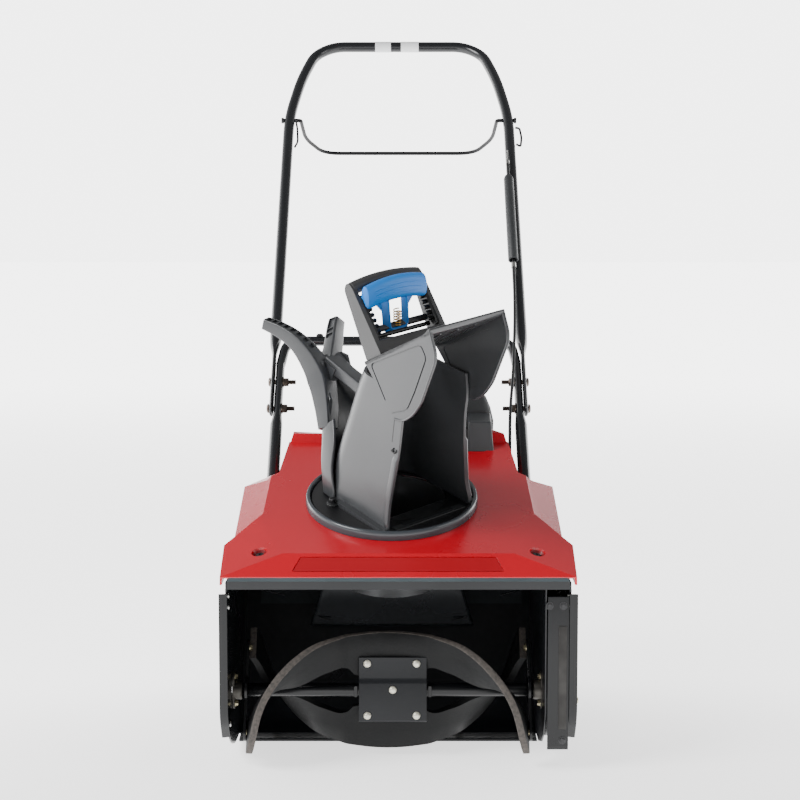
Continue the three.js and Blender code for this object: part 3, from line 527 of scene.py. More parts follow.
CAST = material("cast_alloy", (0.36, 0.37, 0.38), 0.55, metal=0.85, shade=0.2, shade_size=40, grain=0.35,
    grain_size=500, rough_var=0.08)
LABEL = material("blank_label", (0.85, 0.86, 0.87), 0.4)
BRASS = material("spring_brass", (0.72, 0.42, 0.10), 0.3, metal=1)
# Painted highlight: the black steel of the front hem painted a light blue-grey for the bright band along
# its edge.
HEM_PAINTED_HIGHLIGHT = material("hem_edge_painted_highlight", (0.055, 0.072, 0.080), 0.6, shade=0.2, shade_size=20, spec=0.15)
# Painted light: a lighter copy of the black coat for the lit upper part of the housing's back wall.
UPPER_WALL_PAINTED_LIGHT = material("housing_upper_painted_light", (0.022, 0.026, 0.030), 0.4, shade=0.2, rough_var=0.05)
# Painted light: a lighter, shinier copy of the black coat for the throat guide at the back of the mouth.
GUIDE_PAINTED_LIGHT = material("throat_guide_painted_light", (0.018, 0.021, 0.025), 0.22, metal=0.2, shade=0.3,
    rough_var=0.05)
# Painted light: the black steel throat tube painted light grey for its lit wall.
THROAT_PAINTED_LIGHT = material("throat_painted_light", (0.16, 0.165, 0.17), 0.3, metal=0.5, shade=0.2, rough_var=0.05)
# Painted sheen: a lighter, bluer copy of the black plastic for the light reflected on the collar's wall.
COLLAR_PAINTED_SHEEN = material("collar_painted_sheen", (0.045, 0.052, 0.060), 0.24, shade=0.2, grain=0.04, rough_var=0.04,
    spec=0.6)
BOLT_DARK = material("bolt_dark", (0.05, 0.05, 0.052), 0.3, metal=0.8, shade=0.3, shade_size=60)
DULL_METAL = material("dull_metal", (0.050, 0.048, 0.046), 0.42, metal=0.7, shade=0.5, shade_size=30,
    rough_var=0.1)
BEARING_GREY = material("bearing_steel", (0.10, 0.095, 0.085), 0.42, metal=0.9, shade=0.4, shade_size=60,
    rough_var=0.08)
ROTOR_PLATE = material("rotor_plate_coat", (0.006, 0.007, 0.009), 0.4, shade=0.2, grain=0.06,
    rough_var=0.05, spec=0.35)
GRIP_GREY = material("grip_plastic", (0.042, 0.042, 0.043), 0.46, shade=0.15, grain=0.1, grain_size=1500,
    rough_var=0.05)
CABLE = material("cable_plastic", (0.008, 0.008, 0.009), 0.42, shade=0.2)
MUFFLER = material("muffler_coat", (0.03, 0.03, 0.03), 0.6, metal=0.4, shade=0.4, shade_size=30,
    grain=0.2)
TANK = material("tank_plastic", (0.06, 0.06, 0.062), 0.42, shade=0.2)
ROPE = material("rope_weave", (0.20, 0.20, 0.19), 0.85, shade=0.7, shade_size=700,
    second=(0.05, 0.05, 0.05))

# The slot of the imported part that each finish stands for.
FINISHES = {
    "black_steel": (BLACK, BAIL_BLACK, BLACK_INNER, TUBE_BLACK, HEM_PAINTED_HIGHLIGHT, UPPER_WALL_PAINTED_LIGHT, GUIDE_PAINTED_LIGHT,
                    THROAT_PAINTED_LIGHT, ROTOR_PLATE, MUFFLER),
    "black_plastic": (CHUTE_BLACK, CHUTE_PAINTED_SHADE, MATT_BLACK, COLLAR_PAINTED_SHEEN),
    "red_cover": (RED, RED_BAND, RED_DARK),
    "grey_plastic": (GREY, GRIP_GREY, TANK),
    "zinc": (ZINC, BROWN_ZINC, BEARING_GREY),
    "bright_steel": (STEEL, BOLT_DARK, DULL_METAL, BRASS),
    "trigger_blue": (BLUE,),
    "bolt_white": (IVORY,),
    "tyre_rubber": (TYRE,),
    "cable_sheath": (CABLE, ROPE),
}
SLOT_OF = {finish.name: slot for slot, finishes in FINISHES.items() for finish in finishes}


# ---------- hood ----------

HOOD_WALL = 3
LIP_Z = 274
HEM_Z = 262.8
CREASE_Y, CREASE_Z = 30, 301.5
# The hood's screws, one on each side.
SCREW_X, SCREW_Y, SCREW_Z = 194.6, 44, 302.6


def deck_z(y):
    """Height of the hood's top deck at a distance behind the lip."""
    return CREASE_Z + (y - CREASE_Y) * tan(DECK_SLOPE)


def chute_axis_point(height):
    return mm(CHUTE_X, CHUTE_Y, CHUTE_Z) + CHUTE_AXIS * (height / 1000)


def hood_skin():
    """The hood's outer facets as one open surface, mirrored about the middle."""
    half = {
        "lip": (245, 0, LIP_Z), "lip_low": (245.4, 0.5, HEM_Z), "crease": (161, CREASE_Y, CREASE_Z),
        "deck_front": (197, 146, deck_z(146)), "corner": (247.3, 81, 304),
        "corner_low": (247.3, 81, HEM_Z), "ridge": (233.5, 98, 313.5), "fold": (211, 128, 329.5),
        "fold_back": (201, 270, 371), "deck_back": (194, 266, deck_z(266)),
        "step": (183, 277, deck_z(277)), "step_low": (185, 300, 357), "rear": (174, 384, deck_z(384)),
        "rear_low": (180, 390, 357), "shoulder": (238, 300, 357), "ridge_low": (238, 98, HEM_Z),
        "shoulder_low": (240, 300, 292),
    }
    names = list(half)
    verts = [mm(*half[n]) for n in names] + [mm(-half[n][0], half[n][1], half[n][2]) for n in names]
    right = {n: i for i, n in enumerate(names)}
    left = {n: i + len(names) for i, n in enumerate(names)}
    sides = [
        ["lip", "corner", "ridge", "fold", "deck_front", "crease"],
        ["deck_front", "fold", "fold_back", "deck_back"],
        ["fold", "ridge", "shoulder", "fold_back"],
        ["lip", "lip_low", "corner_low", "corner"],
        ["corner", "corner_low", "ridge_low", "ridge"],
        ["ridge", "ridge_low", "shoulder_low", "shoulder"],
        ["deck_back", "fold_back", "shoulder", "step_low", "step"],
        ["step", "step_low", "rear_low", "rear"],
    ]
    faces = [[right[n] for n in side] for side in sides]
    faces += [[left[n] for n in side][::-1] for side in sides]
    deck = ["crease", "deck_front", "deck_back", "step", "rear"]
    faces.append([right[n] for n in deck] + [left[n] for n in reversed(deck)])
    faces.append([right["lip"], right["crease"], left["crease"], left["lip"]])
    return make("hood_shell", verts, faces)


def hood():
    shell = hood_skin()
    flip = bmesh.new()
    flip.from_mesh(shell.data)
    if sum(f.normal.z * f.calc_area() for f in flip.faces) < 0:
        bmesh.ops.reverse_faces(flip, faces=flip.faces)
    flip.to_mesh(shell.data)
    flip.free()
    wall = shell.modifiers.new("wall", "SOLIDIFY")
    wall.thickness = HOOD_WALL / 1000
    wall.offset = -1
    wall.use_even_offset = True
    baked(shell)
    step = deck_z(384)
    risers = []
    for x0, x1, tip in ((-173.8, -119, 0), (141, 173.8, 6)):
        lean = 6 if x0 < 0 else 0
        risers.append(hull("riser", [
            mm(x0, 379, step - 6), mm(x1, 379, step - 6), mm(x0 + lean, 386, step + 13 + tip * 0.3),
            mm(x1 - 6 + lean, 386, step + 13), mm(x0 + lean, 397, step + 15 + tip),
            mm(x1 - 6 + lean, 397, step + 13), mm(x0, 397, step - 10), mm(x1, 397, step - 10)]))
    weld(shell, *risers)
    opening = rod("opening", chute_axis_point(-50), chute_axis_point(40), 106, 72)
    notch = level_plate("notch", rounded(rect(-119, 140, 349, 420), 9), 250, 480)
    run, rise = CREASE_Y, CREASE_Z - LIP_Z
    length = hypot(run, rise)

    def on_front(x, v, out):
        return mm(x, (v * run - out * rise) / length, LIP_Z + (v * rise + out * run) / length)

    slant = [(-147, 9), (146, 9), (136, 35), (-136, 35)]
    band = prism("band", rounded(slant, 3), on_front, -1.4, 6)
    seats = [(word, mm(side * SCREW_X, SCREW_Y, SCREW_Z), Vector((side * 0.18, -0.35, 1)).normalized())
        for word, side in SIDES]
    cups = [lathe("cup", [(0, -9), (8.6, -9), (11.6, -1), (14, 3), (20, 14), (0, 14)], place, axis, 48)
        for _, place, axis in seats]
    carve(shell, opening, notch, band, *cups)
    piece(shell, "machine", RED, "hood", bevel=2.2, segments=3, angle=14)
    blank = prism("hood_blank_band", rounded(shrunk(slant, 1.2), 2.4), on_front, -1.3, -0.5)
    piece(blank, "machine", RED_BAND, bevel=0.25)
    for word, place, axis in seats:
        seat = lathe("hood_screw_seat_" + word, [(0, -12), (11.8, -12), (11.8, -2.6), (8.4, -8.4),
            (0, -8.6)], place, axis, 36)
        piece(seat, "machine", RED_DARK, angle=50)
        screw = lathe("hood_screw_" + word, [(0, -8.5), (6.4, -8.5), (6.4, -7.2), (5.2, -5.8),
            (1.8, -5.4), (1.6, -7.2), (0, -7.2)], place, axis, 28)
        piece(screw, "machine", MATT_BLACK, angle=40)


# ---------- housing ----------

# SIDE_X, FLANGE_X and WALL_X are half-widths: the side plates' outer faces, their turned edges and the
# ends of the walls that fit between them. SHEET is the side plates' thickness.
SIDE_X = 238
SHEET = 2.4
FLANGE_X = 247
WALL_X = SIDE_X - 2.85
MOUTH_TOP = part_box("rotor_housing")[1][2] * 1000
CASE_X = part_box("belt_case")[0][0] * 1000
FRONT_EDGE = [(1.2, 250), (1.2, 86), (9, 67), (30, 41)]


def housing_sides():
    plate = FRONT_EDGE + [(60, 23), (100, 11), (150, 8.5), (188, 8.5), (225, 40), (262, 100), (292, 165),
        (310, 225), (313, 260.6), (300, 266), (4, 266), (4, 252)]
    outline = rounded(plate, [0, 20, 20, 20, 30, 30, 10, 10, 30, 30, 30, 20, 4, 4, 2, 0], 4)
    for name, side in SIDES:
        inner, outer = side * (SIDE_X - SHEET), side * SIDE_X
        holes = [circle(ROTOR_Y, ROTOR_Z, 13, 32)]
        if side > 0:
            holes = [stadium((ROTOR_Y, ROTOR_Z, 58), (226, 176, 40))]
        wall = side_plate("wall", outline, inner, outer, holes)
        path = bend([mm(0, y, z) for y, z in FRONT_EDGE], 22, 6)
        reach = side * (FLANGE_X - SIDE_X + 1.2)
        section = [(0, 0), (0, SHEET), (reach * 0.72, SHEET), (reach, 0.8), (reach, -0.8),
            (reach - side * 2, -1)]
        rings = []
        for i, p in enumerate(path):
            tangent = (path[min(i + 1, len(path) - 1)] - path[max(i - 1, 0)]).normalized()
            back = Vector((0, -tangent.z, tangent.y))
            if back.y < 0:
                back = -back
            start = p + Vector(((side * (SIDE_X - 1.2)) / 1000, 0, 0))
            rings.append([start + Vector((a / 1000, 0, 0)) + back * (b / 1000) for a, b in section])
        flange = skin("flange", rings)
        both = merge("housing_side_" + name, wall, flange)
        piece(both, "machine", BLACK, "side_plate_" + name, bevel=0.7, angle=40)
        dome = [(0, 0), (5, 0), (4.6, 1.6), (2.6, 2.6), (0, 2.9)]
        rivets = [lathe("rivet", dome, mm(side * (SIDE_X - 0.1), y, z), (side, 0, 0), 24)
            for y, z in ((26, 250), (26, 150), (300, 240), (240, 50))]
        piece(merge("housing_rivets_" + name, *rivets), "machine", BLACK)
        nubs = [lathe("nub", [(0, 0), (4, 0), (3.4, 1.6), (0, 2.2)], mm(side * (SIDE_X - SHEET), y, z),
            (-side, 0, 0), 16) for y, z in ((20, 244), (20, 228), (30, 60))]
        piece(merge("housing_studs_" + name, *nubs), "machine", STEEL)


def back_profile():
    points = [(160, 9.5), (188, 30), (222, 78), (252, 130), (280, 185), (300, 225), (308, 259.6)]
    return smooth_path([Vector((y, z, 0)) for y, z in points], 8)


def housing():
    inner = back_profile()
    outer = []
    for i, p in enumerate(inner):
        tangent = (inner[min(i + 1, len(inner) - 1)] - inner[max(i - 1, 0)]).normalized()
        outer.append(p + Vector((tangent.y, -tangent.x, 0)) * 2.5)
    loop = [(p.x, p.y) for p in inner] + [(p.x, min(p.y, 259.8)) for p in reversed(outer)]
    wall = side_plate("back", loop, -SIDE_X + 1.5, CASE_X + 1)
    throat_y = CHUTE_Y + (CHUTE_Z - MOUTH_TOP) * tan(DECK_SLOPE)
    hole = circle(CHUTE_X, throat_y, 86, 64, 91)
    top = level_plate("top", [(-WALL_X, 3), (WALL_X, 3), (WALL_X, 288), (CASE_X - 2, 288),
        (CASE_X - 2, 312), (-WALL_X, 312)], MOUTH_TOP - 2.5, MOUTH_TOP, [hole])
    whole = merge("housing_wall", wall, top)
    piece(whole, "machine", BLACK_INNER, "rotor_housing", bevel=0.5, angle=40)
    hem = face_plate("housing_front_hem", rounded([(-236, 267.6), (-233, 273.2), (233, 273.2),
        (236, 267.6)], 1.5), 0.6, 3.4)
    seal = face_plate("housing_top_seal", [(-236, 256), (-236, 268), (236, 268), (236, 256)], 2.6, 4.6)
    piece(seal, "machine", BLACK_INNER)
    # The hem is painted lighter than the black coat: a painted highlight along the housing's front edge.
    piece(hem, "machine", HEM_PAINTED_HIGHLIGHT, bevel=0.8, segments=3)
    liner = [(8, 80), (30, 45), (60, 26), (110, 12), (190, 12)]
    liner += [(p.x, p.y) for p in inner[8:-1]] + [(306, 258), (8, 258)]
    chamber = side_plate("housing_chamber_side", liner, CASE_X - 2.4, CASE_X - 0.3,
        [circle(ROTOR_Y, ROTOR_Z, 15, 40)])
    piece(chamber, "machine", BLACK_INNER, bevel=0.4)
    # Painted light: a lighter sheet laid over the inside of the back wall's upper part, where the wall is
    # lit.
    upper = [(p.x - 1.6, p.y) for p in inner if p.y > 178] + [(p.x + 0.4, p.y) for p in reversed(inner)
        if p.y > 178]
    band = side_plate("housing_upper_painted_light_band", upper, -212, 190)
    piece(band, "machine", UPPER_WALL_PAINTED_LIGHT, angle=50)
    flare()
    beads()


def flare():
    """The guide that gathers snow from the back wall into the round throat."""
    rows = [(190, 256, 94), (202, 238, 98), (213, 218, 104), (226, 196, 111), (240, 173, 117),
        (256, 149, 125)]
    path = smooth_path([Vector(row) for row in rows], 5)
    rings = []
    for y, z, half in path:
        ring = [mm(CHUTE_X - half - 1, y + 14, z)]
        ring += [mm(CHUTE_X - half, y + 2, z), mm(CHUTE_X - half + 3, y, z)]
        ring += [mm(CHUTE_X + half * k / 8, y - 3 * cos(pi * k / 16), z) for k in range(-7, 8)]
        ring += [mm(CHUTE_X + half - 3, y, z), mm(CHUTE_X + half, y + 2, z),
            mm(CHUTE_X + half + 1, y + 14, z)]
        rings.append(ring)
    n = len(rings[0])
    verts = [p for ring in rings for p in ring]
    faces = [[k * n + i, k * n + i + 1, (k + 1) * n + i + 1, (k + 1) * n + i]
        for k in range(len(rings) - 1) for i in range(n - 1)]
    guide = make("throat_guide", verts, faces)
    wall = guide.modifiers.new("wall", "SOLIDIFY")
    wall.thickness = 0.0015
    # The guide is painted lighter than the black coat: painted light.
    piece(guide, "machine", GUIDE_PAINTED_LIGHT, angle=50)


def beads():
    """Pressed stiffening beads and weld lines on the housing's inside."""
    lines = [
        ([(-213, 120, 238), (-190, 150, 224), (-168, 170, 214)], 1.3),
        ([(193, 120, 236), (172, 150, 224), (152, 170, 214)], 1.3),
        ([(-128, 248, 176), (-122, 244, 164), (-104, 243, 160)], 1.2),
        ([(108, 248, 176), (102, 244, 164), (84, 243, 160)], 1.2),
    ]
    made = [tube("bead", bend([mm(*p) for p in points], 12, 6), r, 10) for points, r in lines]
    piece(merge("housing_beads", *made), "machine", BLACK, angle=60)


def scraper():
    edge = rounded([(146, 0.2), (158, 0.2), (190, 8), (189, 10.5), (159, 4.2), (147, 4.2)], 1.2, 3)
    blade = side_plate("scraper_blade", edge, -SIDE_X + 3.2, CASE_X - 1)
    piece(blade, "machine", GREY, "scraper", bevel=0.4)
    dome = [(0, 0), (7, 0), (6.4, 2), (3.6, 3.4), (0, 3.8)]
    heads = [lathe("head", dome, mm(x, 174, 6.4), (0, -0.23, 0.97), 24) for x in (-180, -90, 0, 90, 180)]
    piece(merge("scraper_bolts", *heads), "machine", ZINC)


def throat():
    profile = [(83.5, -128), (87, -128), (87, -13.6), (83.5, -13.6)]
    duct = lathe("throat_tube", profile, chute_axis_point(0), CHUTE_AXIS, 96, closed=True)
    # The throat tube is painted light grey: painted light on black steel.
    piece(duct, "machine", THROAT_PAINTED_LIGHT, "throat_duct", bevel=0.6)
    profile = [(127, -13.1), (126.8, -6), (126, -2), (124.6, -0.4), (122.6, 0), (120.8, -0.6),
        (120, -2.4), (118.8, -8.4), (117.5, -9.2), (88.5, -9.2), (88, -12.6), (104, -13.1)]
    ring = lathe("collar_ring", profile, chute_axis_point(0), CHUTE_AXIS, 128, closed=True)
    # The collar ring is painted lighter than the black plastic: a painted sheen.
    piece(ring, "machine", COLLAR_PAINTED_SHEEN, "chute_collar", angle=40)


def belt_side():
    r, c = (ROTOR_Y, ROTOR_Z), (CRANK_Y, CRANK_Z)
    outline = stadium((*r, 64), (*c, 36), 40)
    inside = stadium((*r, 61.5), (*c, 33.5), 40)
    floor = side_plate("floor", outline, CASE_X, CASE_X + 2.5, [circle(*r, 12, 40), circle(*c, 13, 40)])
    rim = side_plate("rim", outline, CASE_X, WALL_X, [inside])
    piece(merge("belt_case_pan", floor, rim), "machine", BLACK, "belt_case", bevel=0.6, angle=40)
    column = side_plate("belt_case_front", rounded([(4, 36), (6.2, 30), (6.2, 246), (4, 246)], 1),
        CASE_X + 1, SIDE_X - 3)
    piece(column, "machine", BLACK, bevel=0.5)
    # Painted highlight: a dull metal strip down the belt case's front for the light streak on its glossy
    # face.
    channel = side_plate("belt_case_highlight_strip", rounded(rect(2.6, 4, 60, 205), 0.5), CASE_X + 16,
        CASE_X + 27)
    piece(channel, "machine", DULL_METAL, bevel=0.3)
    places = [mm(x, 4, z) for x, z in ((CASE_X + 3, 233), (CASE_X + 22, 233), (CASE_X + 22, 44))]
    bolts("belt_case_bolts", "machine", BOLT_DARK, places, (0, -1, 0), 4, 3)
    outline = stadium((*r, 60), (*c, 38), 40)
    inside = stadium((*r, 57.5), (*c, 35.5), 40)
    face = side_plate("face", outline, FLANGE_X - 2.2, FLANGE_X)
    rim = side_plate("rim", outline, SIDE_X + 0.35, FLANGE_X - 1, [inside])
    raised = side_plate("raised", stadium((*r, 44), (*c, 24), 40), FLANGE_X - 1, FLANGE_X + 1.6)
    cover = merge("belt_cover_shell", face, rim, raised)
    piece(cover, "machine", MATT_BLACK, "belt_cover", bevel=1.0, segments=3, angle=40)
    rows = ((20, 97), (110, 56), (90, 152), (392, 290), (420, 236), (260, 236))
    places = [mm(FLANGE_X, y, z) for y, z in rows]
    bolts("belt_cover_screws", "machine", ZINC, places, (1, 0, 0), 4.6, 3)


# ---------- rotor ----------

SHAFT_RADIUS = 9.5
# How far the centre plate's face stands in front of the shaft's axis.
PLATE_OUT = 17.5
# The paddles: half their width, then half their thickness at the middle and what the ends add to it.
PADDLE_END = 194
PADDLE_HALF, PADDLE_THICKER = 3.9, 0.9
PADDLE_ANGLES = [(0, 84), (25, 83), (55, 79), (72, 71), (95, 60), (117, 47), (146, 27), (165, 10),
    (178, -9), (187, -35), (194, -59)]
PADDLE_EDGE = [(0, 86.6), (25, 86), (50, 84.4), (70, 85), (90, 87), (110, 89.6), (130, 91.4), (150, 92),
    (194, 92)]
PADDLE_INNER = [(0, 20), (47, 24), (56, 33), (68, 37), (84, 34), (100, 30), (122, 20), (140, 15),
    (160, 26), (180, 40), (198, 48)]


def curve_value(table, x):
    """A smooth value through the rows of a table of (x, value)."""
    for i in range(len(table) - 1):
        (x0, v0), (x1, v1) = table[i], table[i + 1]
        if x <= x1 or i == len(table) - 2:
            before = table[i - 1] if i else (2 * x0 - x1, v0)
            after = table[i + 2] if i + 2 < len(table) else (2 * x1 - x0, 2 * v1 - v0)
            t = min(max((x - x0) / (x1 - x0), 0), 1)
            m0 = (v1 - before[1]) / (x1 - before[0]) * (x1 - x0)
            m1 = (after[1] - v0) / (after[0] - x0) * (x1 - x0)
            return ((2 * t ** 3 - 3 * t * t + 1) * v0 + (t ** 3 - 2 * t * t + t) * m0
                + (3 * t * t - 2 * t ** 3) * v1 + (t ** 3 - t * t) * m1)
    return table[-1][1]


def paddle_point(s, turn, radius=None):
    """A point of the paddle's middle surface, on its outer edge unless a radius is given."""
    angle = radians(curve_value(PADDLE_ANGLES, abs(s)) + turn)
    reach = curve_value(PADDLE_EDGE, abs(s)) if radius is None else radius
    return mm(ROTOR_X + s, ROTOR_Y - cos(angle) * reach, ROTOR_Z + sin(angle) * reach)


def paddle(name, turn, node):
    """A rubber sheet bent round the shaft, with its thickness square to its face."""
    steps = 121
    rings = []
    for k in range(steps):
        s = PADDLE_END * (2 * k / (steps - 1) - 1)
        inner = curve_value(PADDLE_INNER, abs(s))
        edge = curve_value(PADDLE_EDGE, abs(s))
        along = paddle_point(min(s + 1, PADDLE_END), turn) - paddle_point(max(s - 1, -PADDLE_END), turn)
        face = along.cross(paddle_point(s, turn) - paddle_point(s, turn, 0)).normalized()
        half = PADDLE_HALF + PADDLE_THICKER * min(abs(s) / 150, 1)
        rings.append([paddle_point(s, turn, r) + face * (t / 1000) for r, t in (
            (inner, -half), (inner + 12, -half), (edge - 26, -half), (edge - 0.9, -half),
            (edge, -half + 1), (edge, -0.4), (edge, 0.4), (edge, half - 1),
            (edge - 0.9, half), (edge - 26, half), (inner + 12, half), (inner, half))])
    obj = skin(name, rings)
    obj.data.materials.append(RUBBER)
    obj.data.materials.append(RUBBER_EDGE_PAINTED_HIGHLIGHT)
    # The edge faces take the lighter finish: a painted highlight along the paddle's edge.
    for face in obj.data.polygons:
        if len(face.vertices) > 4 or all(i % 12 in (3, 4, 5, 6, 7, 8) for i in face.vertices):
            face.material_index = 1
    piece(obj, "rotor", None, node, "paddle_rubber", angle=50)


def rotor():
    paddle("paddle_front", 0, "rotor_paddle_front")
    paddle("paddle_rear", 180, "rotor_paddle_rear")
    shaft = rod("rotor_shaft_bar", mm(-232, ROTOR_Y, ROTOR_Z), mm(232, ROTOR_Y, ROTOR_Z), SHAFT_RADIUS,
        48, 0.8)
    piece(shaft, "rotor", BLACK, "rotor_shaft", angle=50)
    x0, x1, z0, z1 = -56, 40, ROTOR_Z - 42, ROTOR_Z + 50
    y = ROTOR_Y - PLATE_OUT
    bendline = [(z0 - 2, y + 6), (z0, y + 1.6), (z0 + 1.5, y), (ROTOR_Z + 12, y), (ROTOR_Z + 15, y + 0.8),
        (ROTOR_Z + 18, y + 2.6), (ROTOR_Z + 21, y + 3.0), (z1, y + 3.0)]
    profile = bendline + [(z, yy + 3.4) for z, yy in reversed(bendline)]
    plate = prism("rotor_plate", profile, lambda z, yy, x: mm(x, yy, z), x0, x1)
    piece(plate, "rotor", ROTOR_PLATE, "rotor_centre_plate", bevel=0.9, segments=3, angle=40)
    clamps = []
    for side in (-1, 1):
        outline = rect(-8 + side * 50, -8 + side * 55, ROTOR_Z - 8, ROTOR_Z + 8)
        clamps.append(face_plate("clamp", rounded(outline, 2), ROTOR_Y - 12, ROTOR_Y - 10))
    piece(merge("rotor_clamps", *clamps), "rotor", BLACK, bevel=0.4)
    for i in range(5):
        centre = to_mm(middle("rotor_bolt_%d" % (i + 1)))
        lift = 3.0 if i < 2 else 0
        head = lathe("rotor_bolt_head_%d" % (i + 1), [(0, 0), (5.4, 0), (5.3, 1.2), (4.4, 2.8),
            (2.6, 3.9), (0, 4.3)], mm(centre[0], y - 0.05 + lift * 0.96, centre[2]), (0, -1, 0), 36)
        piece(head, "rotor", IVORY, "rotor_bolt_%d" % (i + 1), angle=50)
    ribs = []
    for x0, x1, dz in ((-181, -134, 10.5), (110, 152, 10.5), (-181, -134, -9.5), (110, 152, -9.5)):
        ribs.append(rod("rib", mm(x0, ROTOR_Y - 6, ROTOR_Z + dz * 0.55),
            mm(x1, ROTOR_Y - 6, ROTOR_Z + dz * 0.55), 1.4, 12))
    piece(merge("rotor_shaft_welds", *ribs), "rotor", BLACK, angle=60)
    for name, x0, x1 in (("left", -217.6, -213.6), ("right", 183.6, 187.6)):
        a = radians(-59)
        ends = [(ROTOR_Y - s * 62 * cos(a), ROTOR_Z + s * 62 * sin(a), 12) for s in (1, -1)]
        web = side_plate("web", stadium(ends[0], ends[1], 16), x0, x1,
            [circle(ROTOR_Y, ROTOR_Z, 9.9, 40)])
        hub = lathe("hub", [(9.9, 0), (20, 0), (20, x1 - x0), (9.9, x1 - x0)], mm(x0, ROTOR_Y, ROTOR_Z),
            (1, 0, 0), 48, closed=True)
        piece(merge("rotor_end_arm_" + name, web, hub), "rotor", BLACK, "rotor_arm_" + name, bevel=0.5)
        inside = 1 if name == "left" else -1
        places = [mm(x1 if inside > 0 else x0, end[0], end[1]) for end in ends]
        bolts("rotor_arm_bolts_" + name, "rotor", ZINC, places, (inside, 0, 0), 4.4, 4)
    for name, x0, x1, side in (("left", -235.1, -221, 1), ("right", 191, 204.6, -1)):
        flange_x = x0 if side > 0 else x1
        outline = stadium((ROTOR_Y, ROTOR_Z - 15, 12), (ROTOR_Y, ROTOR_Z + 15, 12), 24)
        plate = side_plate("plate", outline, flange_x, flange_x + side * 3,
            [circle(ROTOR_Y, ROTOR_Z, 10.2, 40)])
        hub = lathe("hub", [(10.2, 0), (14, 0), (14, 11), (13.2, 13.6), (12, 13.9), (10.2, 13)],
            mm(flange_x, ROTOR_Y, ROTOR_Z), (side, 0, 0), 48, closed=True)
        piece(merge("shaft_bearing_" + name, plate, hub), "machine", BEARING_GREY,
            "rotor_bearing_" + name, bevel=0.5)
        places = [mm(flange_x + side * 3, ROTOR_Y, ROTOR_Z + dz) for dz in (-19, 19)]
        bolts("shaft_bearing_bolts_" + name, "machine", ZINC, places, (side, 0, 0), 4, 4)


# ---------- chute ----------

CHUTE_PLACE = (Matrix.Translation(mm(CHUTE_X, CHUTE_Y, CHUTE_Z)) @ Matrix.Rotation(DECK_SLOPE, 4,
    "X") @ Matrix.Rotation(CHUTE_TURN, 4, "Z"))


def on_chute(right, forward, height):
    """A point in the chute's own frame: right of it, forward of its axis, above the collar."""
    return CHUTE_PLACE @ Vector((right / 1000, -forward / 1000, height / 1000))


def chute_wall(name, outline, r0, r1, holes=()):
    """A plate across the chute: outline in (forward, height), between two rights."""
    return prism(name, outline, lambda f, h, r: on_chute(r, f, h), *sorted((r0, r1)), holes)


CHANNEL_WALL = 4
CHANNEL_STEP = 5.9
# Half-width, front edge and back of the chute's channel at each height.
CHANNEL = [(0, 76, 92, -74), (30, 71, 89, -76), (60, 67, 91, -72), (90, 63, 94, -64), (120, 60, 97, -54),
    (150, 58.5, 100, -43), (180, 58.5, 104, -30), (212, 58.5, 100, -14)]


def channel_at(h):
    return [curve_value([(row[0], row[k]) for row in CHANNEL], h) for k in (1, 2, 3)]


def channel_ring(h, rim):
    """The channel's section: a U open to the front, with a turned-out rim down each front edge."""
    w, front, back = channel_at(h)
    corner = 44
    outer, inner = [], []
    if rim:
        outer += [(w + 1.6, front + 0.8), (w + 3.2, front - 0.4), (w + 3.4, front - 7),
            (w + 2.4, front - 9), (w, front - 10)]
    else:
        outer += [(w - 0.6, front), (w, front - 0.6), (w, front - 7), (w, front - 9), (w, front - 10)]
    outer += [(w, front - (front - back - corner) * k / 6) for k in range(1, 6)]
    for k in range(13):
        a = radians(90 * k / 12)
        outer.append((w - corner + corner * cos(a), back + corner - corner * sin(a)))
        inner.append((w - corner + (corner - CHANNEL_WALL) * cos(a),
            back + corner - (corner - CHANNEL_WALL) * sin(a)))
    inner = [(w - CHANNEL_WALL, front - 0.8), (w - CHANNEL_WALL, front - 9)] + [
        (w - CHANNEL_WALL, front - (front - back - corner) * k / 6) for k in range(1, 6)] + inner
    left_outer = [(-x, y) for x, y in reversed(outer)]
    left_inner = [(-x, y) for x, y in inner]
    loop = outer + left_outer + left_inner + list(reversed(inner))
    return [on_chute(x, y, h) for x, y in loop]


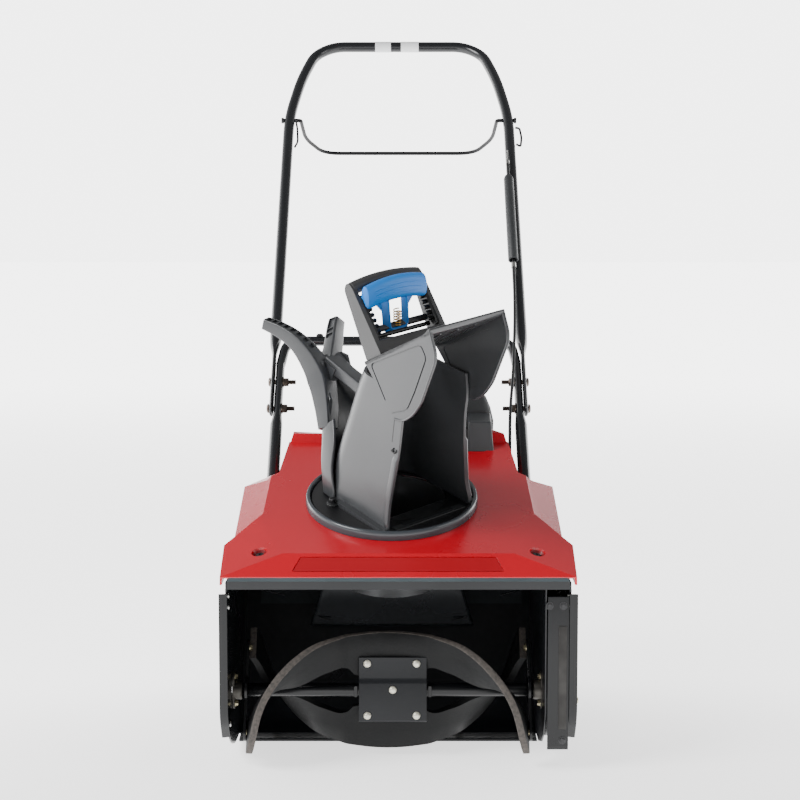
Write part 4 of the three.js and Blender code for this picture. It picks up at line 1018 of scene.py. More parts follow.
def chute():
    low = [channel_ring(-4 + CHANNEL_STEP * k, 1 < k < 19) for k in range(37)]
    body = skin("body", low)
    trim = lathe("trim", [(0, -30), (118, -30), (118, 8), (260, 9), (260, 330), (0, 330)],
        on_chute(0, 0, 0), CHUTE_AXIS, 96)
    combine(body, [trim], "INTERSECT")
    flange = lathe("chute_base_flange", [(79, -8), (117.2, -8), (118, -7.2), (118, -4.6), (117.2, -4),
        (82, -4), (79, -5)], on_chute(0, 0, 0), CHUTE_AXIS, 96, closed=True)
    apron = hull("apron", [on_chute(-62, 54, -8), on_chute(62, 54, -8), on_chute(-62, 96, -3),
        on_chute(62, 96, -3), on_chute(-60, 97, -8), on_chute(60, 97, -8), on_chute(-62, 54, -6),
        on_chute(62, 54, -6)])
    foot = []
    for side in (-1, 1):
        toe = [(-40, -6), (78, -6), (88, -2), (80, 1), (10, 3), (-30, 2), (-40, 0)]
        foot.append(hull("foot", [on_chute(side * (channel_at(max(h, 0))[0] - 2), f, h) for f, h in toe]
            + [on_chute(side * (channel_at(max(h, 0))[0] + (9 if h < 3 else 1)), f, h) for f, h in toe]))
    # The base flange is painted darker than the chute plastic: painted shade.
    piece(flange, "chute_turret", CHUTE_PAINTED_SHADE, bevel=0.5)
    floor_panel = hull("chute_floor_panel", [on_chute(-50, 57, -5.4), on_chute(46, 57, -5.4),
        on_chute(-44, 94, -3.2), on_chute(44, 94, -3.2), on_chute(-50, 57, -6), on_chute(46, 57, -6),
        on_chute(-44, 94, -6), on_chute(44, 94, -6)])
    piece(floor_panel, "chute_turret", MATT_BLACK)
    whole = merge("chute_channel", body, apron, *foot)
    piece(whole, "chute_turret", CHUTE_BLACK, "chute", bevel=0.6, angle=38)
    ribs = []
    for side in (-1, 1):
        path = [on_chute(side * (channel_at(h)[0] - 0.5), channel_at(h)[1] - 17, h)
            for h in range(128, 170, 6)]
        ribs.append(tube("rib", path, 0.9, 8))
        ribs.append(tube("clip", bend([on_chute(side * 60.5, 86, 120), on_chute(side * 62, 82, 116),
            on_chute(side * 62, 90, 114), on_chute(side * 60.5, 92, 119)], 2, 4), 1.2, 8))
    piece(merge("chute_groove_lines", *ribs), "chute_turret", MATT_BLACK, angle=60)
    inner = []
    back = channel_at(40)[2]
    for x, f in ((40, back + 8), (-40, back + 8), (0, back + 5)):
        inner.append(tube("rib", [on_chute(x, f + 1, 16), on_chute(x * 0.92, f + 4, 70),
            on_chute(x * 0.8, f + 26, 140)], 1.6, 8))
    # The inner ribs are painted darker than the chute plastic: painted shade.
    piece(merge("chute_inner_ribs", *inner), "chute_turret", CHUTE_PAINTED_SHADE, angle=60)
    ring = lathe("chute_bolt_boss", [(0, -4), (9, -4), (9, -1), (6.4, 0.6), (0, 0.6)],
        on_chute(-88, -26, 0), CHUTE_AXIS, 32)
    piece(ring, "chute_turret", MATT_BLACK, bevel=0.4)
    bolt = hex_bolt("chute_bolt_head", on_chute(-88, -26, 0.7), CHUTE_AXIS, 5.4, 6)
    piece(bolt, "chute_turret", BOLT_DARK, "chute_bolt", bevel=0.4)


# The deflector's outer half-width, and the outline of its side walls.
WING_X = 63.4
WING = [(22, 230), (156, 311), (167, 322), (180, 293), (180, 279), (150, 210), (133, 187), (112, 171),
    (92, 168), (40, 214)]


def deflector():
    parts = []
    panel = [(36, 231), (82, 172), (121, 190), (138, 222), (163, 279), (150, 296)]
    for side in (-1, 1):
        x0, x1 = side * 59.4, side * WING_X
        wing = chute_wall("wing", rounded(WING, [4, 6, 5, 8, 8, 8, 8, 8, 8, 8], 4), x0, x1)
        outer = chute_wall("outer", rounded(panel, 7, 4), side * 61.8, side * 70)
        island = chute_wall("island", rounded(shrunk(panel, 2.2), 6, 4), side * 61, side * 71)
        carve(outer, island)
        inside = chute_wall("panel_in", rounded(shrunk(panel, 4), 6, 4), side * 52, side * 60.4)
        carve(wing, outer, inside)
        parts.append(wing)
    roof = [(22, 230), (156, 311), (166, 322), (170, 321), (168, 314), (157, 306.5), (24, 225.5)]
    parts.append(chute_wall("roof", rounded(roof, [1, 3, 1.5, 1.5, 2, 3, 1], 3), -WING_X, WING_X))
    for x in (-30, 0, 30):
        parts.append(chute_wall("rib", [(60, 250), (150, 304.4), (150, 301), (64, 246)], x - 1.2,
            x + 1.2))
    whole = merge("deflector_shell", *parts)
    piece(whole, "deflector_flap", CHUTE_BLACK, "deflector", bevel=0.8, segments=3, angle=32)
    lips = []
    for side in (-1, 1):
        rim = WING[2:9]
        path = bend([on_chute(side * 63.2, f, h) for f, h in rim], 9, 5)
        lips.append(tube("lip", path, 1.5, 12))
    piece(merge("deflector_rim", *lips), "deflector_flap", CHUTE_BLACK, angle=60)


def grip():
    rail = [(-28, 320), (-25, 330), (-17, 333.5), (-8, 328), (58, 251.5), (24, 231)]
    parts = []
    for side in (-1, 1):
        parts.append(chute_wall("rail", rounded(rail, [8, 6, 6, 8, 3, 3], 5), side * 54, side * 61))
    top = [(-29, 316), (-28, 327), (-19, 334), (-9, 331), (-6, 322), (-14, 314), (-22, 312)]
    rings = []
    for k in range(25):
        x = 58 * (k / 12 - 1)
        lift = 5.5 * (1 - (x / 58) ** 2)
        rings.append([on_chute(x, f - lift * 0.35, h + lift) for f, h in rounded(top, 4, 4)])
    parts.append(skin("top", rings))
    foot = [(26, 231.5), (57, 250.3), (45, 267), (14, 249)]
    parts.append(chute_wall("foot", rounded(foot, 2.5, 3), -56, 56))
    parts.append(chute_wall("bar", rounded([(6, 268), (12, 262), (18, 268), (12, 274)], 2, 3), -52, 52))
    whole = merge("deflector_grip_frame", *parts)
    piece(whole, "deflector_flap", GRIP_GREY, "deflector_grip", bevel=1.1, segments=3)
    teeth = []
    for side in (-1, 1):
        plate = [(-2, 318), (6, 314), (40, 268), (34, 262), (28, 266)]
        teeth.append(chute_wall("rack", plate, side * 54, side * 49.5))
        for k in range(7):
            f, h = 5.2 * k, 313 - 6.6 * k
            teeth.append(chute_wall("tooth", [(f - 2.2, h + 2.4), (f + 2.6, h + 1.2), (f + 1.4, h - 3.2)],
                side * 54, side * 42))
    # The racks under the grip are painted darker than the chute plastic: painted shade.
    piece(merge("deflector_racks", *teeth), "deflector_flap", CHUTE_PAINTED_SHADE, angle=30)
    # The cross bars are painted darker too: painted shade.
    cross = [rod("cross", on_chute(-50, 22, 262), on_chute(50, 22, 262), 3.2, 20),
        rod("cross", on_chute(-50, 36, 250), on_chute(50, 36, 250), 3, 20)]
    piece(merge("deflector_cross_bars", *cross), "deflector_flap", CHUTE_PAINTED_SHADE, angle=50)


TRIGGER_HALF = 53
TRIGGER_SECTION = [(-5, -17), (4, -18), (9, -12), (10.5, 0), (8.5, 12), (3, 17.5), (-4, 16), (-6, 7),
    (-6.6, -7)]


def trigger_rise(x):
    """How far the bowed trigger stands above its ends."""
    return 8.5 * (1 - (x / TRIGGER_HALF) ** 2)


def trigger():
    rings = []
    for k in range(41):
        x = TRIGGER_HALF * (k / 20 - 1)
        bow = trigger_rise(x)
        end = max(0.72, min(1, (TRIGGER_HALF - abs(x)) / 6 + 0.72))
        section = rounded([(a * end, b * end) for a, b in TRIGGER_SECTION], 4, 3)
        rings.append([on_chute(x, 6 + a + bow * 0.2, 315 + bow + b) for a, b in section])
    bow_piece = skin("bow", rings)
    loop = []
    path = bend([on_chute(-17, 8, 306), on_chute(-16, 12, 262), on_chute(16, 12, 262),
        on_chute(17, 8, 306)], 10, 6)
    loop.append(sweep("loop", path, lambda i: rounded(rect(-5, 5, -6, 6), 2, 3), up=(1, 0, 0)))
    for side in (-1, 1):
        loop.append(hull("gusset", [on_chute(side * 16, 4, 302), on_chute(side * 34, 2, 306),
            on_chute(side * 16, 10, 302), on_chute(side * 34, 8, 306), on_chute(side * 16, 5, 284),
            on_chute(side * 16, 10, 284)]))
    whole = merge("trigger_bow", bow_piece, *loop)
    piece(whole, "trigger", BLUE, "deflector_trigger", bevel=0.9, segments=3, angle=40)
    ridges = []
    for k in range(-1, 2):
        pts = []
        for n in range(21):
            x = -40 + 80 * n / 20
            bow = trigger_rise(x)
            pts.append(on_chute(x, 6 + 9.9 + bow * 0.2 - abs(k) * 0.7, 315 + bow + k * 6))
        ridges.append(tube("ridge", pts, 0.8, 8))
    piece(merge("trigger_ridges", *ridges), "trigger", BLUE, angle=60)
    turns = [(n, 2 * pi * n / 15) for n in range(90)]
    coil = [on_chute(5.2 * cos(a), 14 + 5.2 * sin(a), 268 + n * 0.26) for n, a in turns]
    piece(tube("trigger_spring", coil, 0.9, 8), "trigger", BRASS, angle=60)


def box_path(name, points, sizes, round_by, steps=10, up=(0, 0, 1)):
    """A rounded box section swept along a smooth path, with a size at each point."""
    path = smooth_path(points, steps)
    full = []
    for k in range(len(path)):
        t = k / (len(path) - 1) * (len(sizes) - 1)
        i = min(int(t), len(sizes) - 2)
        full.append([a + (b - a) * (t - i) for a, b in zip(sizes[i], sizes[i + 1])])
    sections = [rounded(rect(-w, w, -h, h), round_by, 4) for w, h in full]
    return sweep(name, path, lambda i: sections[i], up)


# Each prong of the chute's handle: its route, half sizes, the way its top face looks, and its pockets.
HANDLE_PRONGS = [
    ([(-57, -242, 207), (-46, -216, 201), (-36, -188, 189), (-28, -163, 167), (-25, -142, 140),
      (-32, -120, 110), (-44, -98, 80)],
     [(8.5, 8.5), (9.5, 10), (10.5, 12), (13, 15), (15, 17), (14, 14), (12, 11)], (0.62, -0.5, 0.6), 8),
    ([(47, -203, 199), (36, -192, 189), (20, -174, 174), (4, -158, 158), (-6, -146, 142)],
     [(9, 10), (9.5, 11), (10, 12), (11, 13), (12, 13)], (-0.5, -0.2, 0.85), 5),
]


def prong_pockets(points, sizes, facing, count):
    """Square pockets in a row along a prong's top face, from its tip down."""
    path = smooth_path(points, 12)
    up = Vector(facing)
    made = []
    for i in range(len(path) - 1):
        along = (path[i + 1] - path[max(i - 1, 0)]).normalized()
        up = (up - along * up.dot(along)).normalized()
        across = along.cross(up)
        if i % 4 != 3 or i > 4 * count:
            continue
        high = curve_value(list(enumerate(size[1] for size in sizes)),
            i / (len(path) - 1) * (len(sizes) - 1))
        top = path[i] + up * (high / 1000)
        made.append(hull("pocket", [top + along * (a * 0.0038) + across * (b * 0.0062) + up * (c * 0.003)
            for a in (-1, 1) for b in (-1, 1) for c in (-1, 1)]))
    return made


def chute_handle():
    rows = [(-2, 80, -34, -92), (40, 76, -46, -100), (80, 58, -64, -122), (115, 38, -98, -150),
        (145, 27, -130, -168), (168, 25, -140, -176)]
    rings = []
    for k in range(35):
        h = -2 + 5 * k
        w, edge, back = [curve_value([(row[0], row[n]) for row in rows], h) for n in (1, 2, 3)]
        outer = [(w, edge), (w * 0.97, back + (edge - back) * 0.45), (w * 0.8, back + 10),
            (w * 0.45, back), (0, back - 2), (-w * 0.45, back), (-w * 0.8, back + 10),
            (-w * 0.97, back + (edge - back) * 0.45), (-w, edge)]
        inner = [(x * (1 - 5 / max(w, 6)), y + 5 if abs(x) < w * 0.9 else y) for x, y in outer]
        loop = outer + list(reversed(inner))
        rings.append([on_chute(x, y, h) for x, y in rounded(loop, 4, 3)])
    shield = skin("shield", rings)
    window = hull("window", [on_chute(-120, -46, 136), on_chute(-120, -118, 146), on_chute(-120, -92, 92),
        on_chute(120, -46, 136), on_chute(120, -118, 146), on_chute(120, -92, 92)])
    carve(shield, window)
    bars = []
    for route, sizes, facing, pockets in HANDLE_PRONGS:
        points = [on_chute(*point) for point in route]
        prong = box_path("prong", points, sizes, 3, 12, facing)
        carve(prong, *prong_pockets(points, sizes, facing, pockets))
        bars.append(prong)
    knot = hull("knot", [on_chute(x, y, h) for x, y, h in (
        (-20, -126, 140), (20, -126, 140), (-22, -160, 140), (22, -160, 140), (-15, -120, 160),
        (15, -120, 160), (-18, -158, 170), (18, -158, 170))])
    strut = box_path("strut", [on_chute(0, -150, 160), on_chute(0, -110, 153), on_chute(0, -54, 143)],
        [(15, 10), (14, 9), (15, 9)], 4, 10)
    whole = merge("chute_handle_shell", shield, knot, strut, *bars)
    piece(whole, "chute_turret", CHUTE_BLACK, "chute_handle", bevel=1.2, segments=3)


# ---------- handle ----------

HANDLE_FOOT = (638, 636)
TUBE_RADIUS = 10


def on_handle(x, along, across=0):
    """A point on the handle's plane: distance up its slope and offset across it."""
    c, s = cos(HANDLE_SLOPE), sin(HANDLE_SLOPE)
    return mm(x, HANDLE_FOOT[0] + along * c - across * s, HANDLE_FOOT[1] + along * s + across * c)


HANDLE_ACROSS = (on_handle(0, 0, 1) - on_handle(0, 0, 0)).normalized()


def handle_tube(name, foot, shape, radius, corner, node):
    """A bent tube with flattened feet: foot rows are (along, x, half width, half height)."""
    path, sizes = [], []
    for along, x, wide, high in foot:
        path.append(on_handle(-x, along))
        sizes.append((wide, high))
    for p in bend(shape, corner, 10):
        path.append(p)
        sizes.append(radius)
    for along, x, wide, high in reversed(foot):
        path.append(on_handle(x, along))
        sizes.append((wide, high))
    obj = tube(name, path, TUBE_RADIUS, 28, sizes, HANDLE_ACROSS)
    return piece(obj, "machine", TUBE_BLACK, node, bevel=1.2, segments=3, angle=50)


def handles():
    foot = [(-250, 209.4, 2.4, 8), (-248.6, 209.4, 3.4, 10), (-246, 209.4, 3.7, 11.2),
        (-130, 209.4, 3.7, 11.5), (-120, 209.6, 4.8, 11.2), (-108, 209.8, 7.4, 10.6),
        (-96, 209, 9.4, 10.1)]
    upper = [on_handle(-209, -80), on_handle(-209, 468), on_handle(-190, 577), on_handle(-166, 650),
        on_handle(-128, 676), on_handle(128, 676), on_handle(166, 650), on_handle(190, 577),
        on_handle(209, 468), on_handle(209, -80)]
    handle_tube("handle_upper_tube", foot, upper, (TUBE_RADIUS, TUBE_RADIUS), 42, "upper_handle")
    foot = [(-425, 200, 10, 10), (-275, 199.6, 10, 10), (-264, 199, 8.6, 10.6), (-252, 198.4, 7, 11),
        (-150, 198.2, 7, 11)]
    lower = [on_handle(-197.6, -145), on_handle(-190, -94), on_handle(190, -94), on_handle(197.6, -145)]
    handle_tube("handle_lower_tube", foot, lower, (8, 8.5), 42, "lower_handle")
    for word, side in SIDES:
        for i, along in enumerate((-184, -240)):
            start = on_handle(side * 217, along)
            axis = (-side, 0, 0)
            head = lathe("head", [(0, 0), (4.6, 0), (6.6, 1), (7.8, 2.6), (7.9, 3.5), (3.9, 3.6),
                (3.9, 26)], start, axis, 36)
            nut = lathe("nut", [(3.8, 26.2), (7.6, 26.2), (7.6, 32.6), (6.8, 34), (3.8, 34)], start, axis,
                6, closed=True)
            thread = [(3.9 if k % 2 else 3.3, 34 + k * 0.5) for k in range(24)]
            tip = lathe("tip", [(0, 25), (3.6, 25)] + thread + [(2.4, 46), (0, 46)], start, axis, 28)
            washer = lathe("washer", [(4, 24.6), (9, 24.6), (9, 26.1), (4, 26.1)], start, axis, 36,
                closed=True)
            whole = merge("handle_bolt_%s_%d_detail" % (word, i + 1), head, nut, tip, washer)
            piece(whole, "machine", BROWN_ZINC, "handle_bolt_%s_%d" % (word, i + 1))
    turns = [radians(190 * k / 16 - 50) for k in range(17)]
    wrap = [((TUBE_RADIUS + 0.5) * cos(a), (TUBE_RADIUS + 0.5) * sin(a)) for a in turns]
    wrap += [((TUBE_RADIUS + 0.05) * cos(a), (TUBE_RADIUS + 0.05) * sin(a)) for a in reversed(turns)]
    labels = []
    for x0, x1 in ((-47, -16), (4, 39)):
        path = [on_handle(x0 + (x1 - x0) * k / 6, 676) for k in range(7)]
        labels.append(sweep("label", path, lambda i: wrap, HANDLE_ACROSS))
    piece(merge("handle_blank_labels", *labels), "machine", LABEL, angle=60)
    nub = lathe("handle_cross_bolt", [(0, 0), (6.2, 0), (6, 2.4), (4, 4.2), (0, 4.8)],
        on_handle(-134, -94) + Vector((0, 0, 0.0082)), (0, 0, 1), 28)
    piece(nub, "machine", BOLT_DARK, slot="black_steel")
    stops = [rod("stop", on_handle(side * 219, 460), on_handle(side * 224, 460), 5.5, 24, 0.8)
        for side in (-1, 1)]
    piece(merge("bail_end_caps", *stops), "bail_bar", MATT_BLACK)


def bail():
    swing = radians(-14.3)

    def at(x, s):
        return mm(x, PIVOT_Y + s * cos(swing), PIVOT_Z + s * sin(swing))

    path = bend([at(-223, 0), at(-198, 0), at(-187, 0), at(-184, 110), at(-152, 203), at(152, 203),
        at(184, 110), at(187, 0), at(198, 0), at(223, 0)], 34, 8)
    rodlike = tube("bail_rod", path, 3.6, 20)
    piece(rodlike, "bail_bar", BAIL_BLACK, "bail", angle=60)


def cable_and_guides():
    start, end = on_handle(201, 78, 18), on_handle(201, 288, 18)
    axis = (end - start).normalized()
    length = (end - start).length * 1000
    profile = [(6, 0), (8.4, 0), (9, 0.8), (9, length - 8), (8.6, length - 5), (7, length - 0.6),
        (6.6, length), (6, length)]
    sleeve = lathe("cable_spring_cover", profile, start, axis, 40, closed=True)
    piece(sleeve, "machine", GREY, "spring_cover", angle=50)
    route = bend([on_handle(201, 330, 18), on_handle(201, 40, 18), on_handle(198, -60, 17),
        on_handle(190, -180, 20), on_handle(181, -262, 20), mm(178.5, 402, 398)], 40, 10)
    cable = tube("control_cable_sheath", route, 2.6, 16)
    piece(cable, "machine", CABLE, "control_cable", angle=60)
    hook = bend([on_handle(201, 330, 18), on_handle(202, 352, 17), on_handle(203, 358, 12),
        on_handle(203, 366, 10.5)], 5, 5)
    ferrules = [tube("ferrule", [on_handle(201, 330, 18), on_handle(201, 321, 18)], 3.6, 16),
        tube("ferrule", [on_handle(201, 70, 18), on_handle(201, 60, 18)], 4.4, 16),
        tube("hook", hook, 1.3, 10)]
    piece(merge("cable_ferrules", *ferrules), "machine", STEEL, angle=50)
    guide = bend([on_handle(221, 440), on_handle(229, 438), on_handle(232, 412), on_handle(229, 388),
        on_handle(221.5, 394)], 10, 8)
    piece(tube("starter_rope_guide", guide, 2.2, 14), "machine", TUBE_BLACK, "rope_guide", "bright_steel",
        angle=60)
    tie = bend([on_handle(-195.6, 452, 8), on_handle(-192, 430, 6), on_handle(-190, 396, 4),
        on_handle(-195, 380, 6)], 8, 8)
    piece(tube("cable_wire_loop", tie, 2, 12), "machine", TUBE_BLACK, "wire_loop", "bright_steel",
        angle=60)


# ---------- chassis, wheels and engine ----------

LUGS = 22
SPOKES = 5
# Where the recoil starter's bowl begins, on the engine's side.
RECOIL_X = -40.4


def wheels():
    for word, side in SIDES:
        cx = to_mm(middle("tyre_" + word))[0]
        body = "wheel_" + word
        profile = [(62, -18), (63, -19.4), (72, -20), (80, -20.2), (85, -17.6), (87.4, -13), (87.6, 13),
            (85, 17.6), (80, 20.2), (72, 20), (63, 19.4), (62, 18)]
        carcass = lathe("carcass", profile, mm(cx, WHEEL_Y, WHEEL_Z), (1, 0, 0), 96, closed=True)
        lugs = []
        for k in range(LUGS):
            for half in (-1, 1):
                a = 2 * pi * (k + 0.25 * (half + 1)) / LUGS
                rows = []
                for x, shift in ((0.5, 0), (9, 0.05), (17.5, 0.1)):
                    for r in (86.5, 90 if x < 17 else 87.5):
                        for w in (-0.036, 0.036):
                            t = a + shift + w
                            rows.append(mm(cx + half * x, WHEEL_Y + r * cos(t), WHEEL_Z + r * sin(t)))
                lugs.append(hull("lug", rows))
        piece(merge("wheel_tyre_" + word, carcass, *lugs), body, TYRE, "tyre_" + word, bevel=0.7)
        rim = lathe("rim", [(58.4, -18), (61.6, -17.4), (61.6, 17.4), (58.4, 18), (56, 15), (55, 3),
            (55, -3), (56, -15)], mm(cx, WHEEL_Y, WHEEL_Z), (1, 0, 0), 72, closed=True)
        hub = lathe("hub", [(8.35, -19), (15, -19), (17, -16), (17, 16), (15, 19), (8.35, 19)],
            mm(cx, WHEEL_Y, WHEEL_Z), (1, 0, 0), 48, closed=True)
        holes = [circle(WHEEL_Y, WHEEL_Z, 15.5, 40)]
        gap = ((24, -0.26), (46, -0.38), (49, -0.2), (50, 0), (49, 0.2), (46, 0.38), (24, 0.26))
        for k in range(SPOKES):
            a = 2 * pi * k / SPOKES + 0.3
            holes.append(rounded([(WHEEL_Y + r * cos(a + t), WHEEL_Z + r * sin(a + t)) for r, t in gap],
                3, 3))
        disc = side_plate("disc", circle(WHEEL_Y, WHEEL_Z, 56, 72), cx - 3, cx + 3, holes)
        piece(merge("wheel_rim_" + word + "_spoked", rim, hub, disc), body, GREY, "wheel_rim_" + word,
            bevel=0.8)
        pin = tube("axle_clip_" + word, bend([mm(side * 200, WHEEL_Y - 2, WHEEL_Z - 12),
            mm(side * 200, WHEEL_Y, WHEEL_Z + 12), mm(side * 200, WHEEL_Y + 9, WHEEL_Z + 4),
            mm(side * 200, WHEEL_Y + 4, WHEEL_Z - 8)], 6, 6), 1.2, 10)
        piece(pin, "machine", STEEL, angle=60)
        washer = lathe("axle_washer_" + word, [(8.3, 0), (15, 0), (15, 1.4), (8.3, 1.4)],
            mm(side * 193, WHEEL_Y, WHEEL_Z), (side, 0, 0), 40, closed=True)
        piece(washer, "machine", ZINC, angle=40)


def louvres(name, x0, x1, z0, z1, y, count, lean=0.0):
    """A row of raised ventilation slats on a wall facing the rear."""
    slats = []
    for k in range(count):
        z = z0 + (z1 - z0) * (k + 0.5) / count
        h = (z1 - z0) / count * 0.62
        slats.append(hull("slat", [mm(x0, y, z - h / 2), mm(x1, y, z - h / 2), mm(x0, y, z + h / 2),
            mm(x1, y, z + h / 2), mm(x0 + 2, y + 3.4 + lean, z - h / 2),
            mm(x1 - 2, y + 3.4 + lean, z - h / 2), mm(x0 + 2, y + 0.6, z + h / 2),
            mm(x1 - 2, y + 0.6, z + h / 2)]))
    return merge(name, *slats)


def engine():
    centre = to_mm(middle("recoil_housing"))
    axis = (-1, 0, 0)
    start = mm(RECOIL_X, centre[1], centre[2])
    profile = [(0, 0), (70, 0), (73.4, 2), (74, 6), (74, 40), (72.5, 44), (62, 53), (58, 54.5),
        (46, 55.5), (44, 53.5), (30, 53.5), (28, 57.4), (24, 58), (0, 58)]
    bowl = lathe("recoil_bowl", profile, start, axis, 96)
    cuts = []
    for k in range(18):
        a = 2 * pi * k / 18
        rows = []
        for r in (48, 60):
            for x in (50, 62):
                for w in (-0.055, 0.055):
                    rows.append(start + Vector((-x / 1000, r * cos(a + w) / 1000, r * sin(a + w) / 1000)))
        cuts.append(hull("vent", rows))
    carve(bowl, merge("vents", *cuts))
    piece(bowl, "machine", MATT_BLACK, "recoil_housing", bevel=0.8, angle=32)
    cap = lathe("recoil_hub_cap", [(0, 0), (17, 0), (17, 1.4), (15, 2.4), (0, 2.6)],
        start + Vector((-0.058, 0, 0)), axis, 48)
    piece(cap, "machine", GREY, bevel=0.4)
    shroud()
    rear_controls()


def shroud():
    rows = [
        (403, 540, -104, 152, 406), (403, 542.5, -104, 152.6, 430), (403, 543.6, -104, 153, 448),
        (406, 544, -98, 148, 470), (409, 543, -90, 141, 487), (416, 538, -83, 132.5, 497),
        (420, 536, -80, 129, 500),
    ]
    rings = []
    for y0, y1, x0, x1, z in rows:
        drop = 0 if z < 440 else (z - 440) / 60 * 8
        ring = rounded(rect(x0, x1, y0, y1), 16, 6)
        rings.append([mm(x, y, z - drop * (y - y0) / (y1 - y0)) for x, y in ring])
    tower = skin("engine_shroud_shell", rings)
    nose = box("nose", -100, 130, 356, 404, 402, 440)
    panel = box("panel", -104, 152, 545.5, 549, 205, 440)
    bridge = box("bridge", -100, 148, 536, 549, 408, 438)
    weld(tower, nose, bridge, panel)
    recess = level_plate("recess", rounded(rect(-31, 31, 439, 501), 30, 10), 470.5, 520)
    cord = rod("cord", mm(-20, 540, 300), mm(-20, 560, 300), 15, 48)
    primer = rod("primer", mm(-64, 540, 330), mm(-64, 560, 330), 14.6, 48)
    carve(tower, recess, cord, primer)
    piece(tower, "machine", MATT_BLACK, "engine_shroud", bevel=2.4, segments=3, angle=28)
    vents = louvres("engine_shroud_louvres", 50, 132, 455, 485, 541.5, 5, -2)
    piece(vents, "machine", MATT_BLACK, bevel=0.4)
    vents = louvres("engine_panel_louvres", -90, 136, 225, 288, 548.8, 7)
    piece(vents, "machine", MATT_BLACK, bevel=0.4)
    frame_bits = [box("rib", x, x + 3, 548, 551.5, 214, 430) for x in (-101, 146)]
    frame_bits += [box("rib", -98, 146, 548, 551.5, z, z + 3) for z in (212, 296, 364, 428)]
    piece(merge("engine_panel_ribs", *frame_bits), "machine", MATT_BLACK, bevel=0.8)
    places = [mm(x, 549, z) for x, z in ((-92, 402), (140, 402), (-92, 218), (140, 218))]
    bolts("engine_panel_screws", "machine", ZINC, places, (0, 1, 0), 4.4, 3.4)
    badge = box("engine_front_plate", 60, 96, 354.4, 356.4, 408, 434)
    piece(badge, "machine", CHUTE_BLACK, bevel=0.8)
    pod = hull("engine_intake_pod", [mm(108, 352, 404), mm(150, 352, 404), mm(108, 402, 404),
        mm(151, 402, 404), mm(110, 356, 452), mm(146, 356, 452), mm(110, 402, 462), mm(147, 402, 462)])
    piece(pod, "machine", CHUTE_BLACK, bevel=2.5, segments=3)
    muffler = hull("muffler_box", [mm(x, y, z) for x in (112, 174) for y, z in (
        (396, 292), (464, 292), (394, 298), (466, 298), (394, 370), (466, 370), (400, 376), (460, 376))])
    piece(muffler, "machine", MUFFLER, "muffler", bevel=4, segments=4, angle=30)
    guard = [box("slot", 173.6, 175.4, 402 + k * 9, 406 + k * 9, 304, 364) for k in range(7)]
    piece(merge("muffler_guard", *guard), "machine", DULL_METAL, bevel=0.5)
    tank_rows = [(300, -90, 60, 474, 532), (312, -92, 62, 474, 533), (380, -97, 69, 474, 536),
        (392, -98, 70, 474, 536)]
    rings = [[mm(x, y, z) for x, y in rounded(rect(x0, x1, y0, y1), 9, 5)]
        for z, x0, x1, y0, y1 in tank_rows]
    tank = skin("tank", rings)
    neck = lathe("neck", [(0, 0), (15.5, 0), (15.5, 12), (14.4, 14), (0, 14)], mm(0, 505, 391), (0, 0, 1),
        40)
    piece(merge("fuel_tank_shell", tank, neck), "machine", TANK, "fuel_tank", bevel=3, segments=3,
        angle=30)


